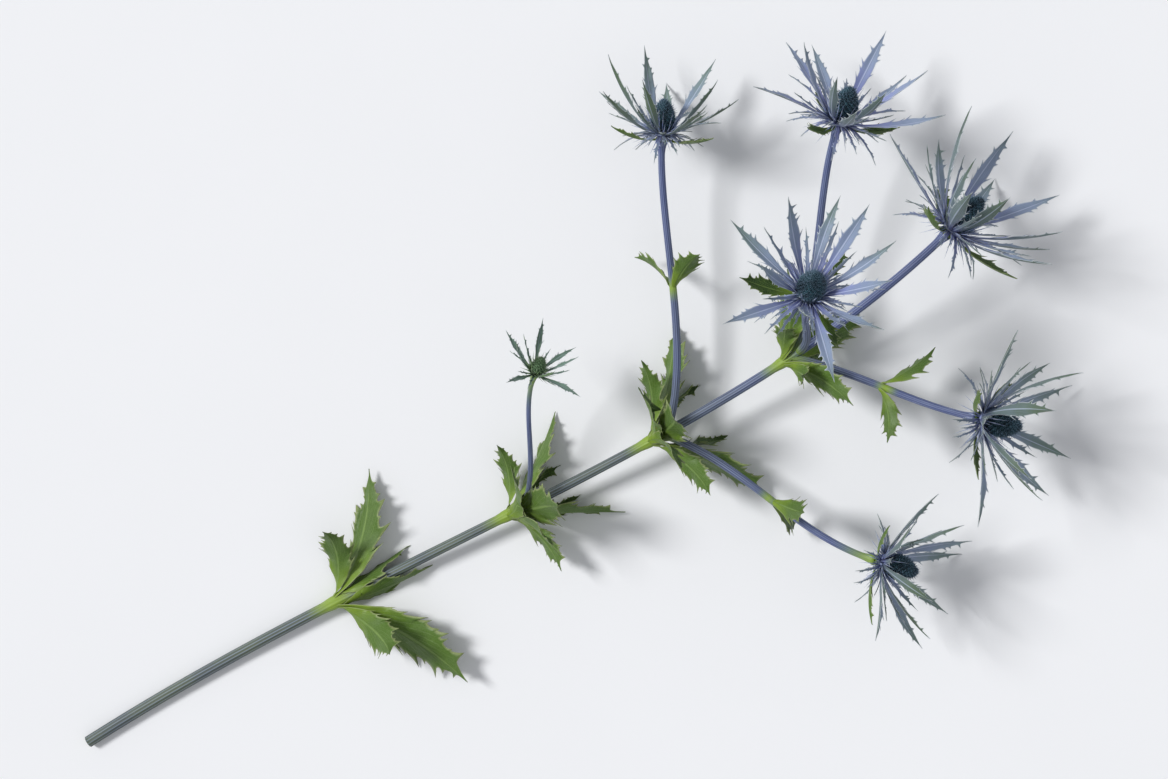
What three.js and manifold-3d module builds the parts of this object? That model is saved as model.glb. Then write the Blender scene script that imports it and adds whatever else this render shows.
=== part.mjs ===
// One cut stem of sea holly (Eryngium), lying on a surface with its cut end at the low-X end and its flower heads at the
// high-X end. Millimetres, +Z up, with the origin under the middle of the stem's own box, on the surface.
//
// The main stem carries a whorl of spiny leaves at each of its nodes. Side branches leave from the upper nodes, and each
// ends in a flower head: a small green collar, a ring of blue bracts with a fringe of narrow ones, and a spiny cone.

import * as THREE from "three";
import { mergeVertices } from "three/addons/utils/BufferGeometryUtils.js";
import Module from "manifold-3d";

const wasm = await Module();
wasm.setup();

// ---------------------------------------------------------------------------------------------------------------
// Driving dimensions
// ---------------------------------------------------------------------------------------------------------------

const SEAT_GAP = 0.3; // what keeps two pieces that touch apart
const SURFACE_CLEARANCE = 0.05; // how high over the surface a bract that would reach it ends
const PRESS_DEPTH = 6; // how far a leaf may reach below the surface before it is pressed flat onto it
const DEGREE = Math.PI / 180;

// The main stem's route is one cubic Bezier: it lies on the surface at its cut end and rises to the terminal head.
const MAIN_ROUTE = [
  [0, 0, 3.2],
  [200, 8, 3.2],
  [385, -34, 18],
  [540, 4, 46],
];
const MAIN_RADIUS = { base: 3.1, tip: 2.0 };
const NODE_SWELLING = 0.7; // how far a node stands out of the main stem
const NODE_LENGTH = 7;
const STALK_FLARE = { radius: 1.3, length: 9 }; // how a stalk widens under its head

// Stations of the nodes along the main stem's route, from the cut end up.
const NODES = { low: 0.27, middle: 0.46, branching: 0.62, crown: 0.78 };

// A side branch leaves the main stem `at` a station in the direction of `leaves`, and reaches its `end` in the direction
// of `arrives`. Both directions are Bezier handles, with their length.
const BRANCH_RADIUS = { base: 2.05, tip: 1.65 };
const BRANCHES = {
  left_upper: { at: 0.795, leaves: [30, 24, 0], end: [520, 78, 50], arrives: [25, 20, 13] },
  right_upper: { at: 0.79, leaves: [28, -26, 0], end: [506, -84, 45], arrives: [26, -22, 10] },
  raised: { at: 0.8, leaves: [14, 2, 24], end: [470, 12, 104], arrives: [14, 10, 26] },
  left_lower: { at: 0.64, leaves: [34, 28, 5], end: [438, 118, 36], arrives: [24, 34, 8] },
  right_lower: { at: 0.635, leaves: [30, -32, 6], end: [424, -122, 38], arrives: [30, -30, 6] },
  bud: { at: 0.475, leaves: [22, 12, 12], end: [322, 48, 50], arrives: [20, 12, 16], slim: 0.68 },
};

// Every blade, from a leaf lobe to a fringe bract, is one outline with other sizes. A station says how far along the
// midrib it is, the share of the greatest half-width there, and the side, +1 or -1, that carries a spine.
const BROAD_OUTLINE = [
  { t: 0.0, width: 0.34, spine: 0 },
  { t: 0.2, width: 0.42, spine: 0 },
  { t: 0.34, width: 0.78, spine: 1 },
  { t: 0.43, width: 0.95, spine: -1 },
  { t: 0.53, width: 1.0, spine: 1 },
  { t: 0.63, width: 0.86, spine: -1 },
  { t: 0.73, width: 0.6, spine: 1 },
  { t: 0.82, width: 0.38, spine: -1 },
];
const SLIM_OUTLINE = [
  { t: 0.0, width: 1.0, spine: 0 },
  { t: 0.3, width: 0.75, spine: 1 },
  { t: 0.5, width: 0.8, spine: -1 },
  { t: 0.7, width: 0.55, spine: 1 },
];

// length, halfWidth and thickness are in mm. fold is how steeply the two halves rise from the midrib, spine is how far a
// spine stands out, and lean is how far forward of its station the edge lies, as a share of what is left of the blade.
const BRACT = { outline: BROAD_OUTLINE, length: 58, halfWidth: 3.3, thickness: 1.0, fold: 0.34, spine: 2.9, lean: 0.12 };
const FRINGE = { outline: SLIM_OUTLINE, length: 26, halfWidth: 0.8, thickness: 0.8, fold: 0.2, spine: 1.9, lean: 0.14 };
const COLLAR = { outline: BROAD_OUTLINE, length: 36, halfWidth: 3.7, thickness: 1.0, fold: 0.3, spine: 2.3, lean: 0.12 };
const LEAF_LOBE = { outline: BROAD_OUTLINE, length: 62, halfWidth: 8, thickness: 1.2, fold: 0.2, spine: 4.2, lean: 0.13 };
const SMALL_LEAF = { outline: BROAD_OUTLINE, length: 32, halfWidth: 4.6, thickness: 1.0, fold: 0.28, spine: 2.9, lean: 0.13 };

// A flower head at scale 1, from the end of its stalk up.
const COLLAR_DISC = { radius: 4.4, height: 2.4, sides: 9 };
const RING_DISC = { radius: 6.9, height: 3.0, sides: 10 };
const CONE = { radius: 7.0, height: 19, base: 0.22, spike: 2.1, around: 12, up: 9 };
const NEEDLE = { length: 17, radius: 0.6, angle: 36 };
const HEADS = {
  terminal: { scale: 1.0, bracts: 12, seed: 1 },
  left_upper: { scale: 0.88, bracts: 11, seed: 2 },
  right_upper: { scale: 0.92, bracts: 11, seed: 3 },
  raised: { scale: 0.9, bracts: 11, seed: 4 },
  left_lower: { scale: 0.8, bracts: 10, seed: 5 },
  right_lower: { scale: 0.84, bracts: 10, seed: 6 },
  bud: { scale: 0.46, bracts: 8, seed: 7 },
};

// Leaves at the main stem's nodes: their azimuth round the stem, in degrees from the side that faces up, and their size.
const LEAVES = {
  low: { station: NODES.low, azimuths: [-94, 86], size: 1.25, seed: 11 },
  middle: { station: NODES.middle, azimuths: [-112, 6, 118], size: 1.05, seed: 12 },
  branching: { station: NODES.branching, azimuths: [-116, -6, 108], size: 1.0, seed: 13 },
  crown: { station: NODES.crown, azimuths: [-65, 60, 178], size: 0.86, seed: 14 },
};
const SIDE_LOBE = { share: 0.68, splay: 0.72 }; // of a leaf's middle lobe, and how far sideways a side lobe swings
const BRANCH_LEAVES = {
  left_lower: { station: 0.5, azimuths: [40, -130], seed: 21 },
  right_lower: { station: 0.52, azimuths: [-20, 160], seed: 22 },
  right_upper: { station: 0.46, azimuths: [70, -110], seed: 23 },
};

const FINISH = {
  stem: new THREE.MeshStandardMaterial({ color: 0x4a5470, roughness: 0.55, metalness: 0 }),
  leaf: new THREE.MeshStandardMaterial({ color: 0x4c7336, roughness: 0.6, metalness: 0 }),
  bract: new THREE.MeshStandardMaterial({ color: 0x6d82a6, roughness: 0.6, metalness: 0 }),
  cone: new THREE.MeshStandardMaterial({ color: 0x24424c, roughness: 0.7, metalness: 0 }),
};

// ---------------------------------------------------------------------------------------------------------------
// Solids
// ---------------------------------------------------------------------------------------------------------------

// An even spread of values from 0 to 1, the same at every run, for what varies from one blade to the next.
const vary = (seed, index) => (seed * 0.754877666 + index * 0.569840291) % 1;
const between = (low, high, share) => low + (high - low) * share;

function solidOf(geometry, holder) {
  const bare = new THREE.BufferGeometry().setAttribute("position", geometry.getAttribute("position"));
  bare.setIndex(geometry.index);
  if (holder) bare.applyMatrix4(holder.matrix);
  const merged = mergeVertices(bare, 1e-4);
  return new wasm.Manifold(
    new wasm.Mesh({
      numProp: 3,
      vertProperties: new Float32Array(merged.attributes.position.array),
      triVerts: new Uint32Array(merged.index.array),
    }),
  );
}

function geometryOf(solid) {
  const mesh = solid.getMesh();
  const geometry = new THREE.BufferGeometry();
  geometry.setAttribute("position", new THREE.BufferAttribute(new Float32Array(mesh.vertProperties), 3));
  geometry.setIndex(new THREE.BufferAttribute(new Uint32Array(mesh.triVerts), 1));
  return geometry;
}

const joined = (solids) => solids.reduce((whole, solid) => whole.add(solid));

// The largest body of a solid, without the scraps that a cut leaves.
function largest(solid) {
  return solid.decompose().reduce((best, body) => (body.volume() > best.volume() ? body : best));
}

function named(name, solid, material) {
  const mesh = new THREE.Mesh(geometryOf(solid), material);
  mesh.name = name;
  return mesh;
}

// A disc from height `from` up, on the holder's axis.
function disc(holder, radius, from, height, sides) {
  const geometry = new THREE.CylinderGeometry(radius, radius, height, sides);
  geometry.rotateX(Math.PI / 2);
  geometry.translate(0, 0, from + height / 2);
  return solidOf(geometry, holder);
}

// ---------------------------------------------------------------------------------------------------------------
// Stems and branches
// ---------------------------------------------------------------------------------------------------------------

const point = (xyz) => new THREE.Vector3(...xyz);

// A round stem along a curve, as a cylinder bent to it. radiusAt gives the radius at a station from 0 to 1.
function stem(curve, radiusAt, sides, steps) {
  const geometry = new THREE.CylinderGeometry(1, 1, 1, sides, steps);
  const position = geometry.getAttribute("position");
  const up = new THREE.Vector3(0, 0, 1);
  for (let i = 0; i < position.count; i++) {
    const station = position.getY(i) + 0.5;
    const tangent = curve.getTangent(station);
    const across = new THREE.Vector3().crossVectors(up, tangent).normalize();
    const over = new THREE.Vector3().crossVectors(across, tangent);
    const centre = curve.getPoint(station);
    centre.addScaledVector(across, position.getX(i) * radiusAt(station));
    centre.addScaledVector(over, position.getZ(i) * radiusAt(station));
    position.setXYZ(i, centre.x, centre.y, centre.z);
  }
  return solidOf(geometry);
}

// 1 at the middle of a bump and 0 from `reach` away.
const bump = (distance, reach) => Math.max(0, 1 - Math.abs(distance) / reach);

const mainRoute = new THREE.CubicBezierCurve3(...MAIN_ROUTE.map(point));
const mainLength = mainRoute.getLength();

function flare(station, length) {
  return STALK_FLARE.radius * bump((1 - station) * length, STALK_FLARE.length) ** 2;
}

function mainRadius(station) {
  const swelling = Object.values(NODES).map((node) => bump((station - node) * mainLength, NODE_LENGTH));
  const plain = between(MAIN_RADIUS.base, MAIN_RADIUS.tip, station);
  return plain + NODE_SWELLING * Math.max(...swelling) + flare(station, mainLength);
}

function branchRoute(branch) {
  const start = mainRoute.getPoint(branch.at);
  const end = point(branch.end);
  return new THREE.CubicBezierCurve3(
    start,
    start.clone().add(point(branch.leaves)),
    end.clone().sub(point(branch.arrives)),
    end,
  );
}

function branchRadius(branch, length) {
  const slim = branch.slim ?? 1;
  return (station) => slim * (between(BRANCH_RADIUS.base, BRANCH_RADIUS.tip, station) + flare(station, length));
}

// A group at a station of a curve, with its own Z along the curve and, with `azimuth`, its X turned from the side that
// faces up.
function holderAt(curve, station) {
  const holder = new THREE.Group();
  holder.position.copy(curve.getPoint(station));
  holder.quaternion.setFromUnitVectors(new THREE.Vector3(0, 0, 1), curve.getTangent(station));
  holder.updateMatrix();
  return holder;
}

// ---------------------------------------------------------------------------------------------------------------
// Blades
// ---------------------------------------------------------------------------------------------------------------

// A blade is placed in its holder's frame: `azimuth` round the axis, a root at `radius` and `height`, and an arc whose
// angle off the axis goes `from` one value `to` another. `swing` turns it sideways out of that plane, towards its tip.
function bladeFrame(blade, t) {
  const bend = blade.to - blade.from;
  const angle = blade.from + bend * t;
  const out = blade.radius + (blade.length * (Math.cos(blade.from) - Math.cos(angle))) / bend;
  const up = blade.height + (blade.length * (Math.sin(angle) - Math.sin(blade.from))) / bend;
  const azimuth = blade.azimuth + (blade.swing ?? 0) * t;
  const outward = new THREE.Vector3(Math.cos(azimuth), Math.sin(azimuth), 0);
  const axis = new THREE.Vector3(0, 0, 1);
  const middle = outward.clone().multiplyScalar(out).addScaledVector(axis, up);
  const twist = (blade.twist ?? 0) * t + (blade.roll ?? 0) * Math.min(1, t / 0.3);
  const side = new THREE.Vector3(-Math.sin(azimuth), Math.cos(azimuth), 0);
  const inner = axis.clone().multiplyScalar(Math.sin(angle)).addScaledVector(outward, -Math.cos(angle));
  const turnedSide = side.clone().multiplyScalar(Math.cos(twist)).addScaledVector(inner, Math.sin(twist));
  const turnedInner = inner.multiplyScalar(Math.cos(twist)).addScaledVector(side, -Math.sin(twist));
  return { middle, side: turnedSide, inner: turnedInner };
}

// The four corners of a blade at a station: its edges, and its midrib's inner and outer faces.
function bladeCorners(blade, station) {
  const { middle, inner } = bladeFrame(blade, station.t);
  const edge = (way) => {
    const spine = station.spine === way ? blade.spine : 0;
    const forward = station.t > 0 ? blade.lean * (1 - station.t) * (spine ? 2.1 : 1) : 0;
    const frame = bladeFrame(blade, station.t + forward);
    const halfWidth = blade.halfWidth * station.width + spine;
    return frame.middle.addScaledVector(frame.side, way * halfWidth).addScaledVector(frame.inner, blade.fold * halfWidth);
  };
  return {
    left: edge(1),
    right: edge(-1),
    inside: middle.clone().addScaledVector(inner, blade.thickness / 2),
    outside: middle.clone().addScaledVector(inner, -blade.thickness / 2),
  };
}

// The same corners in the plant's frame.
function placedCorners(blade, station, holder) {
  const corners = bladeCorners(blade, station);
  for (const corner of Object.values(corners)) corner.applyMatrix4(holder.matrix);
  return corners;
}

// What a leaf would put under the surface is pressed flat onto it.
function pressed(corners, thickness) {
  for (const [name, corner] of Object.entries(corners)) {
    corner.z = Math.max(corner.z, name === "inside" ? thickness : 0);
  }
  return corners;
}

// A blade that would reach lower than `floor` is bent until it doesn't: towards the axis, or back along the stalk where
// it already points backwards.
function settled(blade, holder, floor = SURFACE_CLEARANCE) {
  const rested = { ...blade };
  const way = blade.to > Math.PI / 2 + 0.3 ? 1 : -1;
  const lowest = () =>
    Math.min(
      ...rested.outline.slice(1).flatMap((station) =>
        Object.values(placedCorners(rested, station, holder)).map((corner) => corner.z),
      ),
      bladeFrame(rested, 1).middle.applyMatrix4(holder.matrix).z,
    );
  for (let step = 0; step < 400 && lowest() < floor; step++) {
    rested.to += way * 0.5 * DEGREE;
    rested.from += way * 0.25 * DEGREE;
    if (Math.abs(rested.to - rested.from) < 0.01) rested.to = rested.from - 0.01;
  }
  return rested;
}

// The closed skin of a blade. Both faces are split along the same lines, so that a bent or twisted one can't cross.
function bladeSolid(blade, holder) {
  const sections = blade.outline.map((station) => pressed(placedCorners(blade, station, holder), blade.thickness));
  const corners = sections.flatMap((s) => [s.left, s.inside, s.right, s.outside]);
  const end = bladeFrame(blade, 1).middle.applyMatrix4(holder.matrix);
  end.z = Math.max(end.z, 0);
  const tip = corners.push(end) - 1;
  const faces = [0, 2, 1, 0, 3, 2];
  sections.forEach((section, i) => {
    const [left, inside, right, outside] = [0, 1, 2, 3].map((k) => 4 * i + k);
    if (i === sections.length - 1) {
      faces.push(left, inside, tip, inside, right, tip, right, outside, tip, outside, left, tip);
      return;
    }
    const [nextLeft, nextInside, nextRight, nextOutside] = [4, 5, 6, 7].map((k) => 4 * i + k);
    faces.push(left, inside, nextInside, left, nextInside, nextLeft);
    faces.push(right, nextInside, inside, right, nextRight, nextInside);
    faces.push(right, outside, nextOutside, right, nextOutside, nextRight);
    faces.push(left, nextOutside, outside, left, nextLeft, nextOutside);
  });
  const geometry = new THREE.BufferGeometry().setFromPoints(corners);
  geometry.setIndex(faces);
  return solidOf(geometry);
}

const sized = (style, scale) => ({
  ...style,
  length: style.length * scale,
  halfWidth: style.halfWidth * scale,
  spine: style.spine * scale,
});

// ---------------------------------------------------------------------------------------------------------------
// Flower heads
// ---------------------------------------------------------------------------------------------------------------

// The green collar under the bracts: a small disc on the stalk's end with three leafy bracts.
function collar(head, holder) {
  const from = SEAT_GAP;
  const blades = [0, 1, 2].map((i) => ({
    ...sized(COLLAR, head.scale * between(0.85, 1.1, vary(head.seed + 30, i))),
    azimuth: (head.turn + 120 * i) * DEGREE,
    radius: COLLAR_DISC.radius * head.scale * 0.75,
    height: from + COLLAR_DISC.height * 0.42,
    from: 93 * DEGREE,
    to: between(48, 66, vary(head.seed + 31, i)) * DEGREE,
    twist: between(-0.5, 0.5, vary(head.seed + 32, i)),
  }));
  return joined([
    disc(holder, COLLAR_DISC.radius * head.scale, from, COLLAR_DISC.height, COLLAR_DISC.sides),
    ...blades.map((blade) => bladeSolid(settled(blade, holder), holder)),
  ]);
}

// The blue bracts: an inner tier that rises round the cone and an outer tier that spreads, in turn.
function bractBlades(head, holder, from) {
  return Array.from({ length: head.bracts }, (_, i) => {
    const inner = i % 2 === 1;
    const size = head.scale * between(0.84, 1.06, vary(head.seed, i));
    return settled(
      {
        ...sized(BRACT, size),
        azimuth: (head.turn + 20 + (360 * (i + 0.24 * (vary(head.seed + 1, i) - 0.5))) / head.bracts) * DEGREE,
        radius: RING_DISC.radius * head.scale * 0.8,
        height: from + RING_DISC.height * (inner ? 0.62 : 0.42),
        from: (inner ? between(44, 52, vary(head.seed + 2, i)) : between(66, 78, vary(head.seed + 2, i))) * DEGREE,
        to: (inner ? between(14, 34, vary(head.seed + 3, i)) : between(38, 82, vary(head.seed + 3, i))) * DEGREE,
        twist: between(-0.55, 0.55, vary(head.seed + 4, i)),
        swing: between(-0.14, 0.14, vary(head.seed + 5, i)),
      },
      holder,
    );
  });
}

// The narrow bracts of the fringe, folded back under the head in the gaps between the collar's three.
function fringeBlades(head, holder, from) {
  return [30, 60, 90, 150, 180, 210, 270, 300, 330].map((azimuth, i) =>
    settled(
      {
        ...sized(FRINGE, head.scale * between(0.7, 1.15, vary(head.seed + 6, i))),
        azimuth: (head.turn + azimuth) * DEGREE,
        radius: RING_DISC.radius * head.scale * 0.88,
        height: from + 1.0,
        from: 98 * DEGREE,
        to: between(112, 152, vary(head.seed + 7, i)) * DEGREE,
        twist: between(-0.4, 0.4, vary(head.seed + 8, i)),
      },
      holder,
    ),
  );
}

// A three-sided needle between two bracts, leaning off the axis.
function needle(head, holder, azimuth, from, share) {
  const length = NEEDLE.length * head.scale * between(0.75, 1.1, share);
  const geometry = new THREE.ConeGeometry(NEEDLE.radius, length, 3);
  geometry.rotateX(Math.PI / 2);
  geometry.translate(0, 0, length / 2);
  geometry.rotateY(NEEDLE.angle * DEGREE);
  geometry.translate(RING_DISC.radius * head.scale * 0.86, 0, from + RING_DISC.height * 0.7);
  geometry.rotateZ(azimuth);
  return solidOf(geometry, holder);
}

function bractRing(head, holder) {
  const from = head.collar ? COLLAR_DISC.height + 2 * SEAT_GAP : SEAT_GAP;
  const bracts = bractBlades(head, holder, from);
  const fringe = head.collar ? fringeBlades(head, holder, from) : [];
  const needles = bracts
    .filter((_, i) => i % 2 === 0)
    .map((bract, i) => needle(head, holder, bract.azimuth + Math.PI / head.bracts, from, vary(head.seed + 9, i)));
  return joined([
    disc(holder, RING_DISC.radius * head.scale, from, RING_DISC.height, RING_DISC.sides),
    ...[...bracts, ...fringe].map((blade) => bladeSolid(blade, holder)),
    ...needles,
  ]);
}

// The cone: an egg-shaped knob whose florets stand out of it as spikes, every other corner of its skin.
function cone(head, holder) {
  const from = (head.collar ? COLLAR_DISC.height + SEAT_GAP : 0) + RING_DISC.height + 2 * SEAT_GAP;
  const geometry = new THREE.SphereGeometry(1, CONE.around, CONE.up);
  const position = geometry.getAttribute("position");
  for (let i = 0; i < position.count; i++) {
    const row = Math.round((Math.acos(THREE.MathUtils.clamp(position.getY(i), -1, 1)) / Math.PI) * CONE.up);
    const azimuth = Math.atan2(-position.getZ(i), position.getX(i));
    const column = Math.round(((azimuth / (2 * Math.PI)) * CONE.around + CONE.around) % CONE.around);
    const rise = Math.min(1, Math.max(0, 1 - (row - 0.0) / (CONE.up - 1)));
    const pole = row === 0 || row === CONE.up;
    const spiky = !pole && row < CONE.up - 1 && (row + column) % 2 === 0;
    const girth = Math.sin(Math.PI * (CONE.base + (1 - CONE.base) * rise)) ** 0.8;
    const spike = spiky ? CONE.spike * head.scale : 0;
    const radius = pole ? 0 : CONE.radius * head.scale * Math.max(girth, 0.12) + spike;
    const height = row >= CONE.up - 1 ? 0 : CONE.height * head.scale * rise + spike * 0.7;
    position.setXYZ(i, radius * Math.cos(azimuth), radius * Math.sin(azimuth), from + height);
  }
  return solidOf(geometry, holder);
}

function flowerHead(name, curve) {
  const holder = holderAt(curve, 1);
  const head = { ...HEADS[name], turn: 360 * vary(HEADS[name].seed, 3), collar: name !== "bud" };
  if (head.collar) plant.add(named(`${name}_collar`, collar(head, holder), FINISH.leaf));
  plant.add(named(`${name}_bracts`, bractRing(head, holder), head.collar ? FINISH.bract : FINISH.leaf));
  plant.add(named(`${name}_cone`, cone(head, holder), FINISH.cone));
}

// ---------------------------------------------------------------------------------------------------------------
// Leaves
// ---------------------------------------------------------------------------------------------------------------

// A leaf with a middle lobe and, where `lobed`, two side lobes. Its base is cut out round what it clasps.
function leaf(style, { azimuth, size, seed, lobed, stemRadius, from, to, roll }, holder, seams) {
  const lobes = lobed ? [0, 1, -1] : [0];
  const blades = lobes.map((side, i) => ({
    ...sized(style, size * (side ? SIDE_LOBE.share : 1)),
    azimuth,
    radius: stemRadius * 0.4,
    height: 0,
    from: from + Math.abs(side) * 8 * DEGREE,
    to: to + Math.abs(side) * 8 * DEGREE,
    twist: side * 0.3 + between(-0.25, 0.25, vary(seed, i)),
    roll,
    swing: side * SIDE_LOBE.splay,
  }));
  const solids = blades.map((blade) => bladeSolid(settled(blade, holder, -PRESS_DEPTH), holder));
  return largest(joined(solids).subtract(stemClearance.add(seams)));
}

// The thin walls, half way between the leaves of a whorl, that part their clasping bases.
function whorlSeams(holder, azimuths) {
  const walls = azimuths.map((azimuth, i) => {
    const next = azimuths[(i + 1) % azimuths.length] + (i + 1 < azimuths.length ? 0 : 2 * Math.PI);
    const geometry = new THREE.BoxGeometry(12, SEAT_GAP, 30);
    geometry.translate(6, 0, 0);
    geometry.rotateZ((azimuth + next) / 2);
    return solidOf(geometry, holder);
  });
  return joined(walls);
}

// The azimuth, in a holder's frame, that points `degrees` round the stem from the side that faces up.
function azimuthFromTop(holder, degrees) {
  const up = new THREE.Vector3(0, 0, 1).applyQuaternion(holder.quaternion.clone().invert());
  return Math.atan2(up.y, up.x) + degrees * DEGREE;
}

function leavesAt(prefix, curve, whorl, style, radiusAt, lobed) {
  const holder = holderAt(curve, whorl.station);
  const seams = whorlSeams(holder, whorl.azimuths.map((degrees) => azimuthFromTop(holder, degrees)));
  whorl.azimuths.forEach((degrees, i) => {
    const shape = {
      azimuth: azimuthFromTop(holder, degrees),
      size: (whorl.size ?? 1) * between(0.9, 1.1, vary(whorl.seed, i)),
      seed: whorl.seed + i,
      lobed,
      stemRadius: radiusAt(whorl.station),
      from: between(34, 46, vary(whorl.seed + 1, i)) * DEGREE,
      to: between(62, 84, vary(whorl.seed + 2, i)) * DEGREE,
      roll: -0.95 * Math.sin(degrees * DEGREE),
    };
    plant.add(named(`${prefix}_leaf_${i + 1}`, leaf(style, shape, holder, seams), FINISH.leaf));
  });
}

// ---------------------------------------------------------------------------------------------------------------
// The whole stem
// ---------------------------------------------------------------------------------------------------------------

const plant = new THREE.Group();

const branches = Object.entries(BRANCHES).map(([name, branch]) => {
  const route = branchRoute(branch);
  return { name, route, radiusAt: branchRadius(branch, route.getLength()) };
});
const wholeStem = (extra) =>
  joined([
    stem(mainRoute, (station) => mainRadius(station) + extra, 9, 36),
    ...branches.map(({ route, radiusAt }) => stem(route, (station) => radiusAt(station) + extra, 7, 10)),
  ]);
const stemClearance = wholeStem(SEAT_GAP);
plant.add(named("stem", wholeStem(0), FINISH.stem));

flowerHead("terminal", mainRoute);
for (const { name, route, radiusAt } of branches) {
  flowerHead(name, route);
  if (name in BRANCH_LEAVES) leavesAt(name, route, BRANCH_LEAVES[name], SMALL_LEAF, radiusAt, false);
}
for (const [name, whorl] of Object.entries(LEAVES)) {
  leavesAt(name, mainRoute, whorl, LEAF_LOBE, mainRadius, true);
}

// The stem is set down on the surface, with the origin under the middle of its box.
const box = new THREE.Box3().setFromObject(plant);
const middle = box.getCenter(new THREE.Vector3());
plant.position.set(-middle.x, -middle.y, -box.min.z);

export default plant;
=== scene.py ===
"""One cut stem of sea holly, lying on a pale surface, with its flower heads at the high-X end.

Every shape is worked out in millimetres from the middle of the cut end, with +X along the stem and +Z up, and is put
into metres in the part's own frame as its piece is finished.
"""

import math

import bmesh
import bpy
from mathutils import Matrix, Vector
from mathutils.bvhtree import BVHTree


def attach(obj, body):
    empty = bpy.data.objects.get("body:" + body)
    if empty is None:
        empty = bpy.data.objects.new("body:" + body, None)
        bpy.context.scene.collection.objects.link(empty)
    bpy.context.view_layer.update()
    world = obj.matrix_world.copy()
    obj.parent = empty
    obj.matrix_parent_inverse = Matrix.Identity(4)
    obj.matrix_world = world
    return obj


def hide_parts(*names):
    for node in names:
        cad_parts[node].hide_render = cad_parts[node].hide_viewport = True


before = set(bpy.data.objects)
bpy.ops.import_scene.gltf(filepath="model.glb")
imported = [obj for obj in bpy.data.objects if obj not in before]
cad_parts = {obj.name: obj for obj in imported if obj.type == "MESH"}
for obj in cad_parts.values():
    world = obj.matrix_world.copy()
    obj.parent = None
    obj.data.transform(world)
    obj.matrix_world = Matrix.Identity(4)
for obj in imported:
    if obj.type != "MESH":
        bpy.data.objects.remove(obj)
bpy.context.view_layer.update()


# ------------------------------------------------------------
# The stem: the main stem and its side branches, grown as one body of fresh, finely grooved tissue. It is swollen at
# each node that carries leaves, widens under each flower head, and is cut straight across at its lower end.
# ------------------------------------------------------------

CUT_END = Vector((-299.1026, 2.8329, 0.0))  # the middle of the cut end, from the part's own origin
MAIN_ROUTE = [(0, 0, 3.2), (200, 8, 3.2), (385, -34, 18), (540, 4, 46)]
MAIN_RADIUS = (3.1, 2.0)
NODE_SWELLING = 0.7
NODE_LENGTH = 7
STALK_FLARE = {"radius": 1.3, "length": 9}
NODES = {"low": 0.27, "middle": 0.46, "branching": 0.62, "crown": 0.78}

BRANCH_RADIUS = (2.05, 1.65)
BRANCHES = {
    "left_upper": {"at": 0.795, "leaves": (30, 24, 0), "end": (520, 78, 50), "arrives": (25, 20, 13)},
    "right_upper": {"at": 0.79, "leaves": (28, -26, 0), "end": (506, -84, 45), "arrives": (26, -22, 10)},
    "raised": {"at": 0.8, "leaves": (14, 2, 24), "end": (470, 12, 104), "arrives": (14, 10, 26)},
    "left_lower": {"at": 0.64, "leaves": (34, 28, 5), "end": (438, 118, 36), "arrives": (24, 34, 8)},
    "right_lower": {"at": 0.635, "leaves": (30, -32, 6), "end": (424, -122, 38), "arrives": (30, -30, 6)},
    "bud": {"at": 0.475, "leaves": (22, 12, 12), "end": (322, 48, 50), "arrives": (20, 12, 16), "slim": 0.68},
}

GROOVES = 11
GROOVE_DEPTH = 0.045  # as a share of the radius
RIPPLES = 17
RIPPLE_DEPTH = 0.022
RIPPLE_WIND = -9
GROOVE_WIND = 3  # how far the grooves wind round the stem over its length, in radians of one groove
AROUND_EACH_GROOVE = 4
STEM_STEPS = 250
BRANCH_STEPS = 70
SEAM_DISTANCE = 0.001
MAIN_BLUE_SPAN = (0.35, 0.95)  # from where to where along it the main stem turns blue
BRANCH_BLUENESS = (0.55, 1.0)
NODE_GREEN_REACH = 19
GREEN_ON_BRANCH = {"head": (0.75, 30), "axil": (0.8, 16), "joint": (0.8, 9)}  # how strong it is and how far it goes
GREEN_UNDER_HEAD = ("right_lower", "bud")
LEAFY_BRANCHES = ("left_lower", "right_lower", "right_upper")

STEM_GREY_GREEN = (0.115, 0.145, 0.09, 1)
STEM_SLATE = (0.08, 0.10, 0.095, 1)
STALK_BLUE = (0.07, 0.095, 0.25, 1)
STALK_PALE = (0.31, 0.37, 0.53, 1)
NODE_YELLOW_GREEN = (0.25, 0.37, 0.04, 1)
# painted shade: the dark colour laid into the bottoms of the stem's grooves
GROOVE_PAINTED_SHADE = (0.03, 0.038, 0.04, 1)
PITH_CREAM = (0.55, 0.58, 0.33, 1)
VESSEL_GREEN = (0.13, 0.19, 0.06, 1)
VESSEL_RING = (0.0019, 0.0026)  # in metres from the middle of the cut face

to_frame = Matrix.Scale(0.001, 4) @ Matrix.Translation(CUT_END)


def vary(seed, index):
    """An even spread of values from 0 to 1, the same at every run, for what differs from one blade to the next."""
    return (seed * 0.754877666 + index * 0.569840291) % 1


def between(low, high, share):
    return low + (high - low) * share


def pick(limits, seed, index):
    """A value between two limits, varied from one blade to the next."""
    return between(*limits, vary(seed, index))


def drawn(draws, seed, index):
    """What differs from one blade to the next. Each value has two limits and, as its third number, its own seed."""
    return {name: pick((low, high), seed + own, index) for name, (low, high, own) in draws.items()}


def ease(value, low, high):
    """From 0 at low to 1 at high, with a soft start and end."""
    share = min(1.0, max(0.0, (value - low) / (high - low)))
    return share * share * (3 - 2 * share)


class Route:
    """A stem's route: a cubic Bezier through four points, with stations from 0 to 1."""

    def __init__(self, points):
        self.points = [Vector(point) for point in points]
        marks = [self.at(i / 100) for i in range(101)]
        self.length = sum((b - a).length for a, b in zip(marks, marks[1:]))

    def at(self, station):
        a, b, c, d = self.points
        rest = 1 - station
        return rest**3 * a + 3 * rest**2 * station * b + 3 * rest * station**2 * c + station**3 * d

    def heading(self, station):
        a, b, c, d = self.points
        rest = 1 - station
        way = rest**2 * (b - a) + 2 * rest * station * (c - b) + station**2 * (d - c)
        return way.normalized()


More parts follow.
